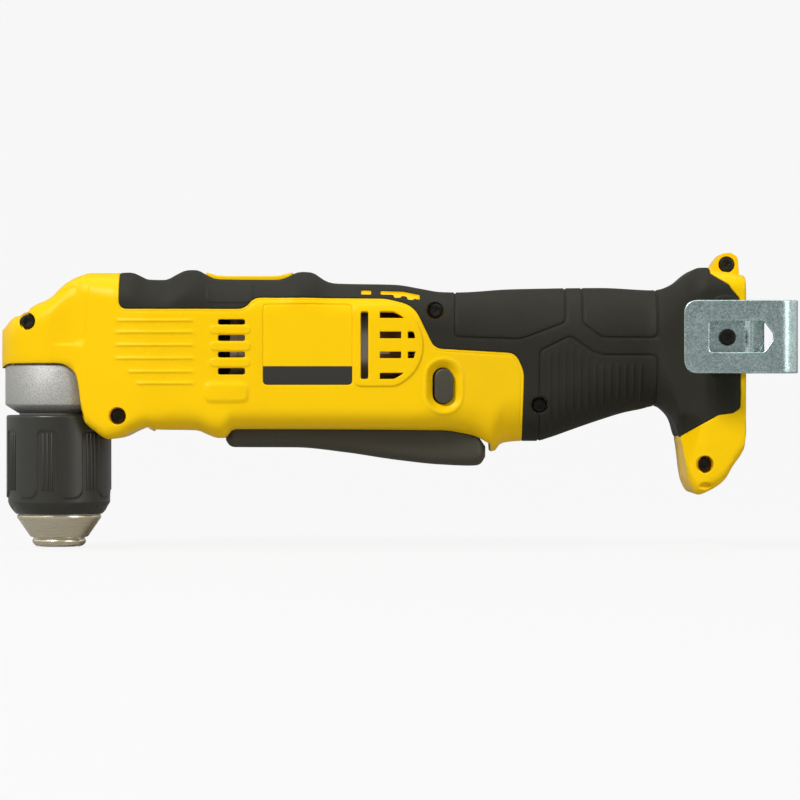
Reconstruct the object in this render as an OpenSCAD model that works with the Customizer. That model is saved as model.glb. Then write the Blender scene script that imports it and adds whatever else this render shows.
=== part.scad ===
// Cordless right angle drill, bare tool without its battery.
// Frame: the chuck's axis is Z and its mouth lies at Z = 0; the body runs along +X from the head
// to the battery foot, +Z is up, and -Y is the tool's left side, which carries the belt hook.

/* [Body] */
// Length of the body from the nose of the head to the rear face of the foot
body_length = 322; // [316:1:330]
// Height from the chuck's mouth to the top of the rear lug
body_height = 128; // [127:0.5:130]
// Radius of the head's rounded nose about the chuck's axis
nose_r = 25.1; // [25:0.1:26.5]
// Half width of the motor section
body_half_w = 31.5; // [31:0.5:34]
// Half width of the handle at its waist
handle_half_w = 21; // [20:0.5:23]
// Half width of the battery foot
foot_half_w = 33.5; // [33:0.5:35]
// Wall of the moulded shells
wall = 3; // [2.6:0.1:3.2]
// Thickness of the rubber moulded over the shells
grip_t = 1.4; // [1:0.1:1.6]
// Half width of the lug above the foot
lug_half_w = 13; // [11:0.5:15]

/* [Chuck] */
// Radius of the chuck's sleeve
sleeve_r = 22.9; // [22:0.1:23.4]
// Height of the sleeve's upper edge above the chuck's mouth
sleeve_top = 57.3; // [56.8:0.1:58]
// Radius of the bore that takes the bit
socket_r = 5.2; // [5:0.05:5.5]
// Depth of the bore that takes the bit
socket_depth = 30; // [26:0.5:32]
// Tilt of the jaws from the chuck's axis, in degrees
jaw_tilt = 16; // [14:0.5:17]
// Radius of the round jaws
jaw_r = 3.2; // [2.8:0.1:3.4]
// Length of a jaw
jaw_len = 26; // [22:0.5:27]

/* [Gear train] */
// Height of the motor's axis above the chuck's mouth
axis_z = 87; // [86.5:0.1:87.5]
// Module of the bevel gears
bevel_module = 1.25; // [1.2:0.01:1.28]
// Teeth of the bevel pinion
bevel_pinion_teeth = 11; // [11:1:11]
// Teeth of the bevel gear on the spindle
bevel_gear_teeth = 23; // [23:1:23]
// Face width of the bevel gears
bevel_face = 5.5; // [4.5:0.1:6]
// Module of the first planetary stage
first_module = 0.7; // [0.68:0.01:0.71]
// Module of the second planetary stage
second_module = 0.75; // [0.73:0.01:0.76]
// Outer radius of the gear case's barrel
case_r = 23.5; // [23.2:0.1:23.6]
// Inner radius of the gear case's barrel, where the ring gears sit
case_bore_r = 20.5; // [20.2:0.1:20.8]
// Radius of the bare metal collar under the head
collar_r = 23.4; // [23:0.1:23.8]
// Distance from the chuck's axis to the second stage
second_stage_x = 41; // [40.5:0.1:42]
// Travel of the speed selector and the ring gear that it shifts
shift_travel = 5; // [4:0.1:5.2]

/* [Motor] */
// Radius of the motor's steel can
can_r = 21.5; // [20.5:0.1:22]
// Distance from the chuck's axis to the front of the can
can_x = 75.5; // [75:0.1:76.5]
// Length of the can
can_len = 60.5; // [58:0.5:61]
// Radius of the armature's laminated core
core_r = 15.8; // [14:0.1:16]
// Radius of the motor's shaft
shaft_r = 2.5; // [2.2:0.05:2.6]

/* [Controls] */
// Half width of the paddle trigger
paddle_half_w = 17; // [15:0.5:17.5]
// Swing of the paddle trigger, in degrees
paddle_swing = 3.2; // [2.5:0.1:3.4]
// Width of the direction button
button_w = 8; // [7:0.1:8.5]
// Height of the direction button
button_h = 15.2; // [13:0.1:16]
// Travel of the direction button to either side of its locked middle
button_travel = 3; // [2:0.1:3.5]

/* [Belt hook] */
// Thickness of the hook's sheet steel
hook_t = 2; // [1.5:0.1:2.2]
// Width of the hook's sheet, up and down
hook_w = 31; // [28:0.5:33]
// Room between the hook's two legs for a belt
belt_gap = 12; // [10:0.5:14]

/* [Hidden] */

// Overrun of every cut past the face that it opens
over = 1;
// Half length of a cut or slab that runs right across the tool
across = 60;
// Running gap between a turning shaft and what carries it
run_gap = 0.05;
// Gap between pieces that move past each other
move_gap = 0.3;
// Gap between a moulded seat and the piece that it holds
seat_gap = 0.25;
// Least radius of a rounded corner
small_r = 0.3;

// Places of the gear train and motor along X

second_face = 6;
second_carrier_t = 4;
stage_gap = 0.6;
first_carrier_t = 3.4;
first_face = 5.6;
second_carrier_x = second_stage_x - second_carrier_t - stage_gap;
first_carrier_x = second_stage_x + second_face + shift_travel / 2;
first_stage_x = first_carrier_x + first_carrier_t + stage_gap;
first_ring_x = first_stage_x + stage_gap;
cover_x = first_stage_x + first_face + stage_gap;
cover_t = 3;
sliding_ring_x = second_stage_x - 3 * stage_gap;
sliding_ring_len = first_stage_x - shift_travel - sliding_ring_x - move_gap;
fan_len = 5.5;
fan_x = can_x - fan_len - 2 * stage_gap;
fan_r = 20.5;
motor_bearing_r = 8;
motor_bearing_w = 5;
rear_bearing_r = 6.5;
front_bearing_x = cover_x;
can_end_x = can_x + can_len;
card_len = 14;
card_r = 20;
rear_bearing_x = can_end_x + card_len;
can_flange_w = 1.5;
can_flange_r = can_r + can_flange_w;
can_flange_t = 3;
can_wall = 2.2;
core_inset = 13;
core_x = can_x + core_inset;
winding_len = 7;
winding_gap = 2.5;
winding_r = 13.2;
commutator_r = 7.5;
commutator_in = 2;
commutator_x = can_end_x - commutator_in;
commutator_len = 13;
core_len = commutator_x - winding_gap - winding_len - core_x;

// Places along the body, as shares of its length: the motor section stretches with the motor in it, and
// the handle and foot take up the rest
axis_share = 0.07795;
can_start_share = 0.31242;
can_end_share = 0.50031;
motor_rear_share = 0.55932;
tail_share = 0.1;
rear_x = body_length - nose_r;
x_knots = [
    [0, -nose_r], [axis_share, 0], [can_start_share, can_x], [can_end_share, can_end_x],
    [motor_rear_share, rear_bearing_x + motor_bearing_w], [1, rear_x],
    [1 + tail_share, rear_x + tail_share * body_length]
];
x_shares = [for (k = x_knots) [k[1], k[0]]];
function x_at(share) = lookup(share, x_knots);
function share_at(x) = lookup(x, x_shares);
function z_at(share) = share * body_height;
function at(shares) = [x_at(shares[0]), z_at(shares[1])];
function at_all(table) = [for (s = table) at(s)];

// Outlines of the body seen from the side, as shares of its length and height

top_shares = [
    [0, 0.733], [0.02, 0.781], [0.041, 0.805], [0.072, 0.844], [0.094, 0.888], [0.11, 0.915],
    [0.123, 0.927], [0.158, 0.927], [0.18, 0.929], [0.19, 0.919], [0.201, 0.905], [0.225, 0.904],
    [0.24, 0.923], [0.255, 0.938], [0.268, 0.938], [0.277, 0.925], [0.295, 0.907], [0.376, 0.905],
    [0.39, 0.916], [0.399, 0.928], [0.408, 0.932], [0.421, 0.93], [0.439, 0.902], [0.45, 0.893],
    [0.534, 0.888], [0.567, 0.875], [0.594, 0.864], [0.614, 0.863], [0.69, 0.875], [0.762, 0.879],
    [0.811, 0.88], [0.884, 0.872], [0.908, 0.892], [0.927, 0.929], [0.939, 0.944], [0.951, 0.944],
    [0.961, 0.935], [0.985, 0.924], [1, 0.913]
];
bottom_shares = [
    [0, 0.606], [0.014, 0.611], [0.088, 0.611], [0.104, 0.592], [0.11, 0.551], [0.113, 0.471],
    [0.118, 0.423], [0.129, 0.399], [0.15, 0.366], [0.161, 0.369], [0.185, 0.396], [0.201, 0.408],
    [0.212, 0.399], [0.268, 0.396], [0.282, 0.382], [0.296, 0.37], [0.306, 0.37], [0.316, 0.4],
    [0.594, 0.396], [0.627, 0.379], [0.642, 0.362], [0.654, 0.339], [0.663, 0.323], [0.668, 0.324],
    [0.672, 0.344], [0.678, 0.353], [0.704, 0.359], [0.724, 0.359], [0.74, 0.369], [0.766, 0.392],
    [0.806, 0.427], [0.845, 0.457], [0.865, 0.467], [0.884, 0.478], [0.898, 0.457], [0.908, 0.423],
    [0.913, 0.377], [0.917, 0.358], [0.922, 0.24], [0.937, 0.18], [0.951, 0.193], [0.974, 0.235],
    [0.983, 0.277], [0.995, 0.318], [1, 0.349]
];
// Stations of the body's sections behind the chuck's axis, as shares of its length
station_shares = [
    0.094, 0.104, 0.11, 0.113, 0.118, 0.129, 0.15, 0.161, 0.18, 0.19, 0.201, 0.225, 0.24, 0.255,
    0.268, 0.277, 0.295, 0.306, 0.316, 0.376, 0.39, 0.399, 0.408, 0.421, 0.439, 0.45, 0.534, 0.567,
    0.594, 0.627, 0.642, 0.654, 0.663, 0.668, 0.672, 0.678, 0.704, 0.74, 0.766, 0.806, 0.845, 0.884,
    0.898, 0.908, 0.913, 0.917, 0.922, 0.937, 0.951, 0.961, 0.985
];
// The same for the hollow inside the shells, which has fewer sections
hollow_station_shares = [
    0.104, 0.113, 0.118, 0.129, 0.15, 0.18, 0.201, 0.24, 0.268, 0.295, 0.306, 0.316, 0.376, 0.399,
    0.421, 0.45, 0.534, 0.594, 0.642, 0.663, 0.678, 0.74, 0.806, 0.884, 0.908, 0.917, 0.922, 0.937,
    0.961
];
// Stretches of the length between which the half width changes
head_end_share = 0.21;
motor_end_share = 0.55;
waist_start_share = 0.746;
waist_end_share = 0.873;
foot_start_share = 0.951;
// Corners of the sections: place along the body, then the width and height of the upper corner and
// of the lower corner, as shares of the motor section's half width
corner_shares = [
    [0, 0.29, 0.29, 0.1, 0.1], [0.094, 0.29, 0.29, 0.1, 0.1], [0.171, 0.44, 0.4, 0.2, 0.2],
    [0.25, 0.57, 0.46, 0.38, 0.3], [0.55, 0.57, 0.46, 0.38, 0.3], [0.73, 0.6, 0.7, 0.6, 0.7],
    [0.873, 0.6, 0.7, 0.6, 0.7], [0.93, 0.38, 0.38, 0.2, 0.2], [1, 0.19, 0.19, 0.13, 0.13]
];
// Angles about the chuck's axis at which the nose has its sections
nose_steps = 7;
nose_first_angle = 9;
nose_angles = [
    for (i = [0 : nose_steps - 1]) nose_first_angle + i * (90 - nose_first_angle) / nose_steps
];
outer_corner_steps = 4;
hollow_corner_steps = 2;
paddle_corner_steps = 3;

width_keys = [
    [0, nose_r], [x_at(head_end_share), body_half_w], [x_at(motor_end_share), body_half_w],
    [x_at(waist_start_share), handle_half_w], [x_at(waist_end_share), handle_half_w],
    [x_at(foot_start_share), foot_half_w], [rear_x, foot_half_w]
];
function ease(t) = t * t * (3 - 2 * t);
function segment(x, keys, i = 0) = i >= len(keys) - 2 || x < keys[i + 1][0] ? i : segment(x, keys, i + 1);
function eased(x, keys, column) =
    let (
        i = segment(x, keys),
        t = (x - keys[i][0]) / (keys[i + 1][0] - keys[i][0])
    )
    keys[i][column] + ease(min(1, max(0, t))) * (keys[i + 1][column] - keys[i][column]);
function half_w(x) = x < 0 ? sqrt(max(0, nose_r * nose_r - x * x)) : eased(x, width_keys, 1);
function top_z(x) = lookup(x, at_all(top_shares));
function bottom_z(x) = lookup(x, at_all(bottom_shares));
function corner(x, column) =
    body_half_w * eased(share_at(x), corner_shares, column);

// One section of a rounded body: half width w, from z_low to z_high, with elliptic corners
function quarter(w, z, rw, rz, from, steps, up) = [
    for (i = [0 : steps])
        let (a = from + i * 90 / steps)
        [w - rw + rw * sin(a), z - up * rz + rz * cos(a)]
];
function half_section(w, z_low, z_high, top_rw, top_rz, low_rw, low_rz, steps) = concat(
    [[0, z_high]], quarter(w, z_high, top_rw, top_rz, 0, steps, 1),
    quarter(w, z_low, low_rw, low_rz, 90, steps, -1), [[0, z_low]]
);
function on_x(x, section) = [for (p = section) [x, p[0], p[1]]];
function whole_section(half) = concat(
    half, [for (i = [len(half) - 2 : -1 : 1]) [-half[i][0], half[i][1]]]
);
function body_section(x, w, inset, steps) =
    let (
        side = w - inset,
        low = bottom_z(x) + inset,
        high = top_z(x) - inset,
        room = (high - low) / 2 - small_r,
        top_rw = max(small_r, min(side - small_r, corner(x, 1) - inset)),
        top_rz = max(small_r, min(room, corner(x, 2) - inset)),
        low_rw = max(small_r, min(side - small_r, corner(x, 3) - inset)),
        low_rz = max(small_r, min(room, corner(x, 4) - inset))
    )
    on_x(x, whole_section(half_section(side, low, high, top_rw, top_rz, low_rw, low_rz, steps)));
function body_sections(inset, steps, shares) = concat(
    [
        for (a = nose_angles)
            let (x = -(nose_r - inset) * cos(a))
            body_section(x, (nose_r - inset) * sin(a) + inset, inset, steps)
    ],
    [body_section(0, half_w(0), inset, steps)],
    [for (s = shares) if (x_at(s) < rear_x - inset) body_section(x_at(s), half_w(x_at(s)), inset, steps)],
    [body_section(rear_x - inset, half_w(rear_x), inset, steps)]
);

// A solid through a list of closed sections that all have as many points
module skin(sections) {
    n = len(sections[0]);
    last = (len(sections) - 1) * n;
    sides = [
        for (i = [0 : len(sections) - 2], j = [0 : n - 1], half = [0, 1])
            let (a = i * n + j, b = i * n + (j + 1) % n)
            half == 0 ? [a, b, b + n] : [a, b + n, a + n]
    ];
    first_cap = [for (j = [1 : n - 2]) [0, j + 1, j]];
    last_cap = [for (j = [1 : n - 2]) [last, last + j, last + j + 1]];
    polyhedron([for (s = sections) each s], concat(sides, first_cap, last_cap));
}
module body_solid(inset) {
    skin(body_sections(inset, outer_corner_steps, station_shares));
}
module hollow() {
    skin(body_sections(wall, hollow_corner_steps, hollow_station_shares));
}
// A slab of a side outline, right across the tool
module across_tool(outline, half = across) {
    translate([0, half, 0]) rotate([90, 0, 0]) linear_extrude(2 * half) polygon(outline);
}
module pin_across(x, z, r, y_from, y_to, fn = 48) {
    translate([x, y_to, z]) rotate([90, 0, 0]) cylinder(h = y_to - y_from, r = r, $fn = fn);
}
module along_x(x, z, r, length, fn = 96) {
    translate([x, 0, z]) rotate([0, 90, 0]) cylinder(h = length, r = r, $fn = fn);
}
module on_axis(x) {
    translate([x, 0, axis_z]) rotate([0, 90, 0]) children();
}
module box(low, high) {
    translate(low) cube(high - low);
}
module one_side(side) {
    intersection() {
        children();
        box(
            [-across, side < 0 ? -across : 0, -across],
            [body_length + across, side < 0 ? 0 : across, 3 * across]
        );
    }
}

// Rubber overmould and label, as side outlines

grip_shares = [
    [0.165, 1.1], [0.165, 0.823], [0.168, 0.81], [0.173, 0.805], [0.333, 0.804], [0.341, 0.81],
    [0.348, 0.83], [0.356, 0.843], [0.52, 0.839], [0.54, 0.83], [0.552, 0.818], [0.562, 0.793],
    [0.572, 0.763], [0.578, 0.713], [0.582, 0.686], [0.589, 0.671], [0.676, 0.659], [0.692, 0.652],
    [0.7, 0.636], [0.7033, 0.612], [0.706, 0.582], [0.7033, 0.3], [0.9, 0.3], [0.911, 0.371],
    [0.939, 0.416], [0.963, 0.448], [0.982, 0.455], [0.989, 0.465], [0.991, 0.481], [0.993, 0.529],
    [0.992, 0.837], [0.986, 0.857], [0.98, 0.87], [0.977, 0.885], [0.973, 0.894], [0.954, 0.924],
    [0.95, 1.1]
];
label_low_shares = [0.357, 0.548];
label_high_shares = [0.476, 0.82];
label_t = 0.6;
module grip_region() {
    across_tool(at_all(grip_shares));
}
module label_region() {
    low = at(label_low_shares);
    high = at(label_high_shares);
    box([low[0], -across, low[1]], [high[0], across, high[1]]);
}

// Screws that close the two shells

screw_shares = [[0.04, 0.764], [0.163, 0.444], [0.587, 0.799], [0.727, 0.481], [0.945, 0.283]];
lug_screw_share = [0.979, 0.957];
handle_screw = 3;
screw_head_r = 3.1;
screw_head_h = 2.6;
screw_shank_r = 1.8;
screw_recess = 8;
screw_boss_r = 3.4;
screw_drive_r = 1.4;
lug_recess = 3;
function screw_seat(share) = half_w(x_at(share[0])) - screw_recess;
lug_seat = lug_half_w - lug_recess;
screws = concat(
    [for (s = screw_shares) [x_at(s[0]), z_at(s[1]), screw_seat(s)]],
    [[x_at(lug_screw_share[0]), z_at(lug_screw_share[1]), lug_seat]]
);
module screw_bosses() {
    for (s = screws) pin_across(s[0], s[1], screw_boss_r, -across, across, 16);
}
module screw_holes() {
    for (s = screws) {
        pin_across(s[0], s[1], screw_head_r + seat_gap, -across, -s[2], 16);
        pin_across(s[0], s[1], screw_shank_r + seat_gap, -across, s[2] - screw_head_h, 16);
    }
}
module housing_screws() {
    color("#2b2a27")
    for (s = screws) difference() {
        union() {
            pin_across(s[0], s[1], screw_head_r, -s[2] - screw_head_h, -s[2]);
            pin_across(s[0], s[1], screw_shank_r, -s[2] - over, s[2] - screw_head_h - over);
        }
        translate([s[0], -s[2] - screw_head_h / 2, s[1]]) rotate([90, 0, 0])
            cylinder(h = screw_head_h, r = screw_drive_r, $fn = 6);
    }
}

// Rear lug above the foot
lug_r = 5.2;
lug_front_share = 0.952;
lug_rear_share = 0.996;
lug_base_share = 0.9;
module lug() {
    center = at(lug_screw_share);
    hull() {
        pin_across(center[0], center[1], lug_r, -lug_half_w, lug_half_w, 32);
        box(
            [x_at(lug_front_share), -lug_half_w, z_at(lug_base_share)],
            [x_at(lug_rear_share), lug_half_w, center[1] - lug_r]
        );
    }
}

// Vents, as shares of the body's length and height: low corner, high corner
front_vent_shares = [0.297, 0.333];
front_vent_z_shares = [[0.751, 0.768], [0.696, 0.716], [0.64, 0.661], [0.584, 0.605]];
tall_vent_shares = [[0.488, 0.568], [0.498, 0.795]];
round_vent_shares = [0.513, 0.681];
round_vent_r = 15.6;
round_vent_z_shares = [[0.772, 0.796], [0.704, 0.727], [0.638, 0.661], [0.568, 0.589]];
round_vent_bar_shares = [0.542, 0.55];
vent_corner_r = 0.8;
module slot_across(low, high) {
    hull()
        for (
            x = [low[0] + vent_corner_r, high[0] - vent_corner_r],
            z = [low[1] + vent_corner_r, high[1] - vent_corner_r]
        )
        pin_across(x, z, vent_corner_r, -across, across, 8);
}
module vents() {
    for (z = front_vent_z_shares)
        slot_across(at([front_vent_shares[0], z[0]]), at([front_vent_shares[1], z[1]]));
    slot_across(at(tall_vent_shares[0]), at(tall_vent_shares[1]));
    center = at(round_vent_shares);
    intersection() {
        pin_across(center[0], center[1], round_vent_r, -across, across, 64);
        difference() {
            union() for (z = round_vent_z_shares)
                slot_across([center[0], z_at(z[0])], [center[0] + round_vent_r + over, z_at(z[1])]);
            box(
                [x_at(round_vent_bar_shares[0]), -across, 0],
                [x_at(round_vent_bar_shares[1]), across, body_height]
            );
        }
    }
}

// Ribs of the shells that seat the gear case, the motor and the switch
rib_t = 2.5;
can_rib_shares = [0.33, 0.8];
case_rib_x = second_carrier_x - over;
button_shares = [0.598, 0.545];
button_x = x_at(button_shares[0]);
button_z = z_at(button_shares[1]);
switch_gap = 0.5;
switch_x = button_x + button_w / 2 + switch_gap;
switch_room = 0.6;
switch_len = screws[handle_screw][0] - screw_boss_r - switch_room - switch_x;
switch_half_w = 10;
switch_low = 58.2;
switch_high = 80;
switch_rib_x = switch_x + switch_len - 3 * rib_t;
module ring_rib(x, r) {
    difference() {
        box([x, -across, 0], [x + rib_t, across, body_height]);
        along_x(x - over, axis_z, r + seat_gap, rib_t + 2 * over, 48);
    }
}
module ribs() {
    ring_rib(case_rib_x, case_r);
    ring_rib(cover_x - rib_t, case_r);
    for (s = can_rib_shares) ring_rib(can_x + s * can_len, can_r);
    ring_rib(rear_bearing_x, rear_bearing_r);
    difference() {
        box([switch_rib_x, -across, switch_low - rib_t], [switch_rib_x + rib_t, across, body_height]);
        box(
            [switch_rib_x - over, -switch_half_w - seat_gap, switch_low - seat_gap],
            [switch_rib_x + rib_t + over, switch_half_w + seat_gap, switch_high + seat_gap]
        );
    }
    box(
        [spring_x - spring_seat_half, -across, spring_top],
        [spring_x + spring_seat_half, across, spring_top + rib_t]
    );
}

// Paddle trigger: its outline, pivot and the slot that it works in

paddle_low_shares = [
    [0.3055, 0.366], [0.309, 0.348], [0.3165, 0.339], [0.4, 0.338], [0.467, 0.321], [0.534, 0.296],
    [0.594, 0.28], [0.634, 0.276], [0.645, 0.278], [0.6515, 0.292], [0.6545, 0.31]
];
paddle_high_shares = [
    [0.3055, 0.376], [0.311, 0.395], [0.318, 0.408], [0.627, 0.408], [0.645, 0.375], [0.6545, 0.34]
];
paddle_station_shares = [
    0.3055, 0.3065, 0.309, 0.3125, 0.3165, 0.33, 0.36, 0.4, 0.433, 0.467, 0.5, 0.534, 0.565, 0.594,
    0.615, 0.634,
    0.645, 0.6485, 0.6515, 0.6545
];
paddle_hollow_shares = [0.3125, 0.6485];
paddle_corner = 5;
paddle_wall = 2.2;
pivot_shares = [0.332, 0.432];
pivot_x = x_at(pivot_shares[0]);
pivot_z = z_at(pivot_shares[1]);
pivot_pin_r = 2;
pivot_ear_r = 4;
pivot_pin_reach = 5;
pivot_pin_half = paddle_half_w + pivot_pin_reach;
slot_front_share = 0.3;
slot_rear_share = 0.6605;
slot_gap = 0.8;
spring_share = 0.577;
spring_x = x_at(spring_share);
spring_r = 3.4;
spring_wire_r = 0.45;
spring_turns = 6;
spring_top = switch_low;
spring_seat_half = 5;
plunger_inset = 7;
plunger_x = switch_x + plunger_inset;
plunger_r = 3;
plunger_pad = 4;
plunger_foot_z = 52;
function paddle_low(x) = lookup(x, at_all(paddle_low_shares));
function paddle_high(x) = lookup(x, at_all(paddle_high_shares));
function paddle_section(x, inset) =
    let (
        low = paddle_low(x) + inset,
        high = paddle_high(x) + (inset > 0 ? over : 0),
        side = paddle_half_w - inset,
        r = max(small_r, min(paddle_corner - inset, (high - low) / 2 - small_r))
    )
    on_x(x, whole_section(half_section(side, low, high, small_r, small_r, r, r, paddle_corner_steps)));
module paddle_skin(inset) {
    skin([
        for (s = paddle_station_shares)
            if (inset == 0 || (s > paddle_hollow_shares[0] && s < paddle_hollow_shares[1]))
                paddle_section(x_at(s), inset)
    ]);
}
spring_floor = paddle_low(spring_x) + paddle_wall;
module paddle_trigger() {
    color("#33332f")
    difference() {
        union() {
            difference() {
                paddle_skin(0);
                paddle_skin(paddle_wall);
            }
            for (side = [-1, 1]) {
                y = side * (paddle_half_w - pivot_ear_r / 2);
                pin_across(pivot_x, pivot_z, pivot_ear_r, y - pivot_ear_r / 2, y + pivot_ear_r / 2);
                box(
                    [pivot_x - pivot_ear_r, y - pivot_ear_r / 2, paddle_low(pivot_x) + paddle_wall / 2],
                    [pivot_x + pivot_ear_r, y + pivot_ear_r / 2, pivot_z]
                );
            }
            box(
                [plunger_x - plunger_pad, -plunger_pad, paddle_low(plunger_x) + paddle_wall / 2],
                [plunger_x + plunger_pad, plunger_pad, plunger_foot_z]
            );
        }
        pin_across(pivot_x, pivot_z, pivot_pin_r + run_gap, -across, across);
    }
}
module trigger_pin() {
    color("silver") pin_across(pivot_x, pivot_z, pivot_pin_r, -pivot_pin_half, pivot_pin_half);
}
// The room that the trigger, its ears and its pin need in the shells
module trigger_room() {
    box(
        [x_at(slot_front_share), -paddle_half_w - slot_gap, 0],
        [x_at(slot_rear_share), paddle_half_w + slot_gap, switch_low]
    );
    pin_across(
        pivot_x, pivot_z, pivot_ear_r + slot_gap, -paddle_half_w - slot_gap, paddle_half_w + slot_gap, 24
    );
    pin_across(
        pivot_x, pivot_z, pivot_pin_r + seat_gap, -pivot_pin_half - seat_gap, pivot_pin_half + seat_gap, 24
    );
}
module pivot_bosses() {
    pin_across(pivot_x, pivot_z, pivot_ear_r, -across, across, 24);
}
// A round wire or lead along points, with rings square to its run
function unit(v) = v / norm(v);
function run_at(route, i) = unit(route[min(i + 1, len(route) - 1)] - route[max(i - 1, 0)]);
function ring_at(center, run, r, sides) =
    let (
        up = abs(run[2]) > 0.9 ? [1, 0, 0] : [0, 0, 1],
        a = unit(cross(up, run)),
        b = cross(run, a)
    )
    [for (k = [0 : sides - 1]) center + r * (cos(360 * k / sides) * a + sin(360 * k / sides) * b)];
module tube(route, r, sides) {
    skin([for (i = [0 : len(route) - 1]) ring_at(route[i], run_at(route, i), r, sides)]);
}
spring_rings_a_turn = 8;
spring_route = [
    for (i = [0 : spring_turns * spring_rings_a_turn])
        let (share = i / (spring_turns * spring_rings_a_turn), a = 360 * i / spring_rings_a_turn)
        [
            spring_x + (spring_r - spring_wire_r) * cos(a), (spring_r - spring_wire_r) * sin(a),
            spring_floor + 2 * spring_wire_r + share * (spring_top - spring_floor - 4 * spring_wire_r)
        ]
];
module trigger_spring() {
    color("silver") tube(spring_route, spring_wire_r, 6);
}
module switch_body() {
    color("#26262a")
    difference() {
        box([switch_x, -switch_half_w, switch_low], [switch_x + switch_len, switch_half_w, switch_high]);
        translate([plunger_x, 0, switch_low - over])
            cylinder(h = plunger_depth + over, r = plunger_r + run_gap, $fn = 48);
    }
}
plunger_in = 4;
plunger_room = 2.5;
plunger_depth = plunger_in + (plunger_x - pivot_x) * tan(paddle_swing) + plunger_room;
module switch_plunger() {
    color("#1f1f1f")
    translate([plunger_x, 0, plunger_foot_z + run_gap])
        cylinder(h = switch_low - plunger_foot_z + plunger_in, r = plunger_r, $fn = 48);
}

// Direction button, a bar that passes through both shells
button_rim = 4;
button_recess = button_travel;
button_sink_share = 0.2;
button_half_len = half_w(button_x) - button_sink_share * button_recess;
module obround(w, h) {
    for (z = [-1, 1] * (h - w) / 2) translate([0, z]) circle(d = w, $fn = 48);
    square([w, h - w], center = true);
}
module button_bar(grow, half) {
    translate([button_x, half, button_z]) rotate([90, 0, 0])
        linear_extrude(2 * half) obround(button_w + 2 * grow, button_h + 2 * grow);
}
module direction_button() {
    color("#3a3934") button_bar(0, button_half_len);
}
module button_cuts() {
    button_bar(move_gap, across);
    for (side = [-1, 1]) {
        y = side * (half_w(button_x) + across - button_recess);
        translate([0, y, 0]) button_bar(button_rim, across);
    }
}
// A sleeve of the shells round the button keeps the recess closed
module button_wells() {
    button_bar(button_rim + over, half_w(button_x));
}
module button_well_core() {
    button_bar(button_rim + over, half_w(button_x) - button_recess - wall);
}

// Speed selector on top, with the bracket that shifts the sliding ring gear

bezel_shares = [0.283, 0.392];
bezel_top_share = 0.922;
bezel_half_w = 11;
selector_half_w = 7;
selector_len = 18;
selector_gap = 1.2;
selector_x = x_at(bezel_shares[0]) + 4 * selector_gap;
selector_low_share = 0.886;
selector_low = z_at(selector_low_share);
selector_top = z_at(bezel_top_share) - move_gap;
selector_grooves = 5;
selector_groove_w = 1.2;
stem_half_w = 3;
bracket_t = 1.4;
bracket_z = axis_z + case_r + seat_gap;
bracket_half_w = 4;
ring_groove_w = 3;
ring_groove_depth = 1;
bracket_x = sliding_ring_x + sliding_ring_len / 2 - ring_groove_w / 2 + move_gap;
module bezel() {
    box(
        [x_at(bezel_shares[0]), -bezel_half_w, selector_low],
        [x_at(bezel_shares[1]), bezel_half_w, z_at(bezel_top_share)]
    );
}
module selector_cuts() {
    box(
        [selector_x - selector_gap, -selector_half_w - move_gap, selector_low - move_gap],
        [
            selector_x + selector_len + shift_travel + selector_gap, selector_half_w + move_gap,
            body_height + over
        ]
    );
    box(
        [bracket_x - selector_gap - rib_t, -bracket_half_w - move_gap, axis_z + case_r - over],
        [
            selector_x + selector_len + shift_travel, bracket_half_w + move_gap,
            bracket_z + bracket_t + move_gap
        ]
    );
    box(
        [selector_x, -stem_half_w - move_gap, bracket_z],
        [selector_x + selector_len + shift_travel, stem_half_w + move_gap, body_height]
    );
}
module speed_selector() {
    color("#2d2d2b")
    difference() {
        union() {
            box(
                [selector_x, -selector_half_w, selector_low],
                [selector_x + selector_len, selector_half_w, selector_top]
            );
            box(
                [selector_x + stem_half_w, -stem_half_w, bracket_z + bracket_t],
                [selector_x + selector_len - stem_half_w, stem_half_w, selector_top - bracket_t]
            );
        }
        for (i = [0 : selector_grooves - 1])
            translate([selector_x + selector_len * (i + 1) / (selector_grooves + 1), 0, selector_top])
                rotate([90, 0, 0]) cylinder(h = 2 * across, d = selector_groove_w, center = true, $fn = 24);
    }
}
module shift_bracket() {
    color("#b9bcc0") {
        box(
            [bracket_x, -bracket_half_w, bracket_z],
            [selector_x + selector_len - stem_half_w, bracket_half_w, bracket_z + bracket_t]
        );
        box(
            [bracket_x, -bracket_half_w / 2, axis_z + sliding_ring_r - ring_groove_depth + move_gap],
            [bracket_x + ring_groove_w - 2 * move_gap, bracket_half_w / 2, bracket_z]
        );
    }
}

// Battery foot: the bay that the battery slides up into, its rails and terminals

bay_depth = 13;
bay_half_w = 27;
bay_top_share = 0.84;
bay_top = z_at(bay_top_share);
bay_wall = 2.4;
rail_reach = 4.5;
rail_t = 3.5;
rail_inset = 4.5;
rail_low_share = 0.36;
rail_low = z_at(rail_low_share);
bay_x = rear_x - bay_depth;
module bay_walls() {
    box(
        [bay_x - bay_wall, -bay_half_w - bay_wall, 0],
        [rear_x + over, bay_half_w + bay_wall, bay_top + bay_wall]
    );
}
module bay_room() {
    box([bay_x, -bay_half_w, -over], [rear_x + over, bay_half_w, bay_top]);
}
module rails() {
    for (side = [-1, 1]) {
        y = side * (bay_half_w - rail_reach / 2);
        box(
            [rear_x - rail_inset - rail_t, y - rail_reach / 2, rail_low],
            [rear_x - rail_inset, y + rail_reach / 2, bay_top]
        );
    }
}
block_half_w = 13;
block_depth = 9;
block_h = 22;
blade_t = 0.8;
blade_w = 5;
blade_len = 14;
blade_pitch = 5.6;
blades = 4;
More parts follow.
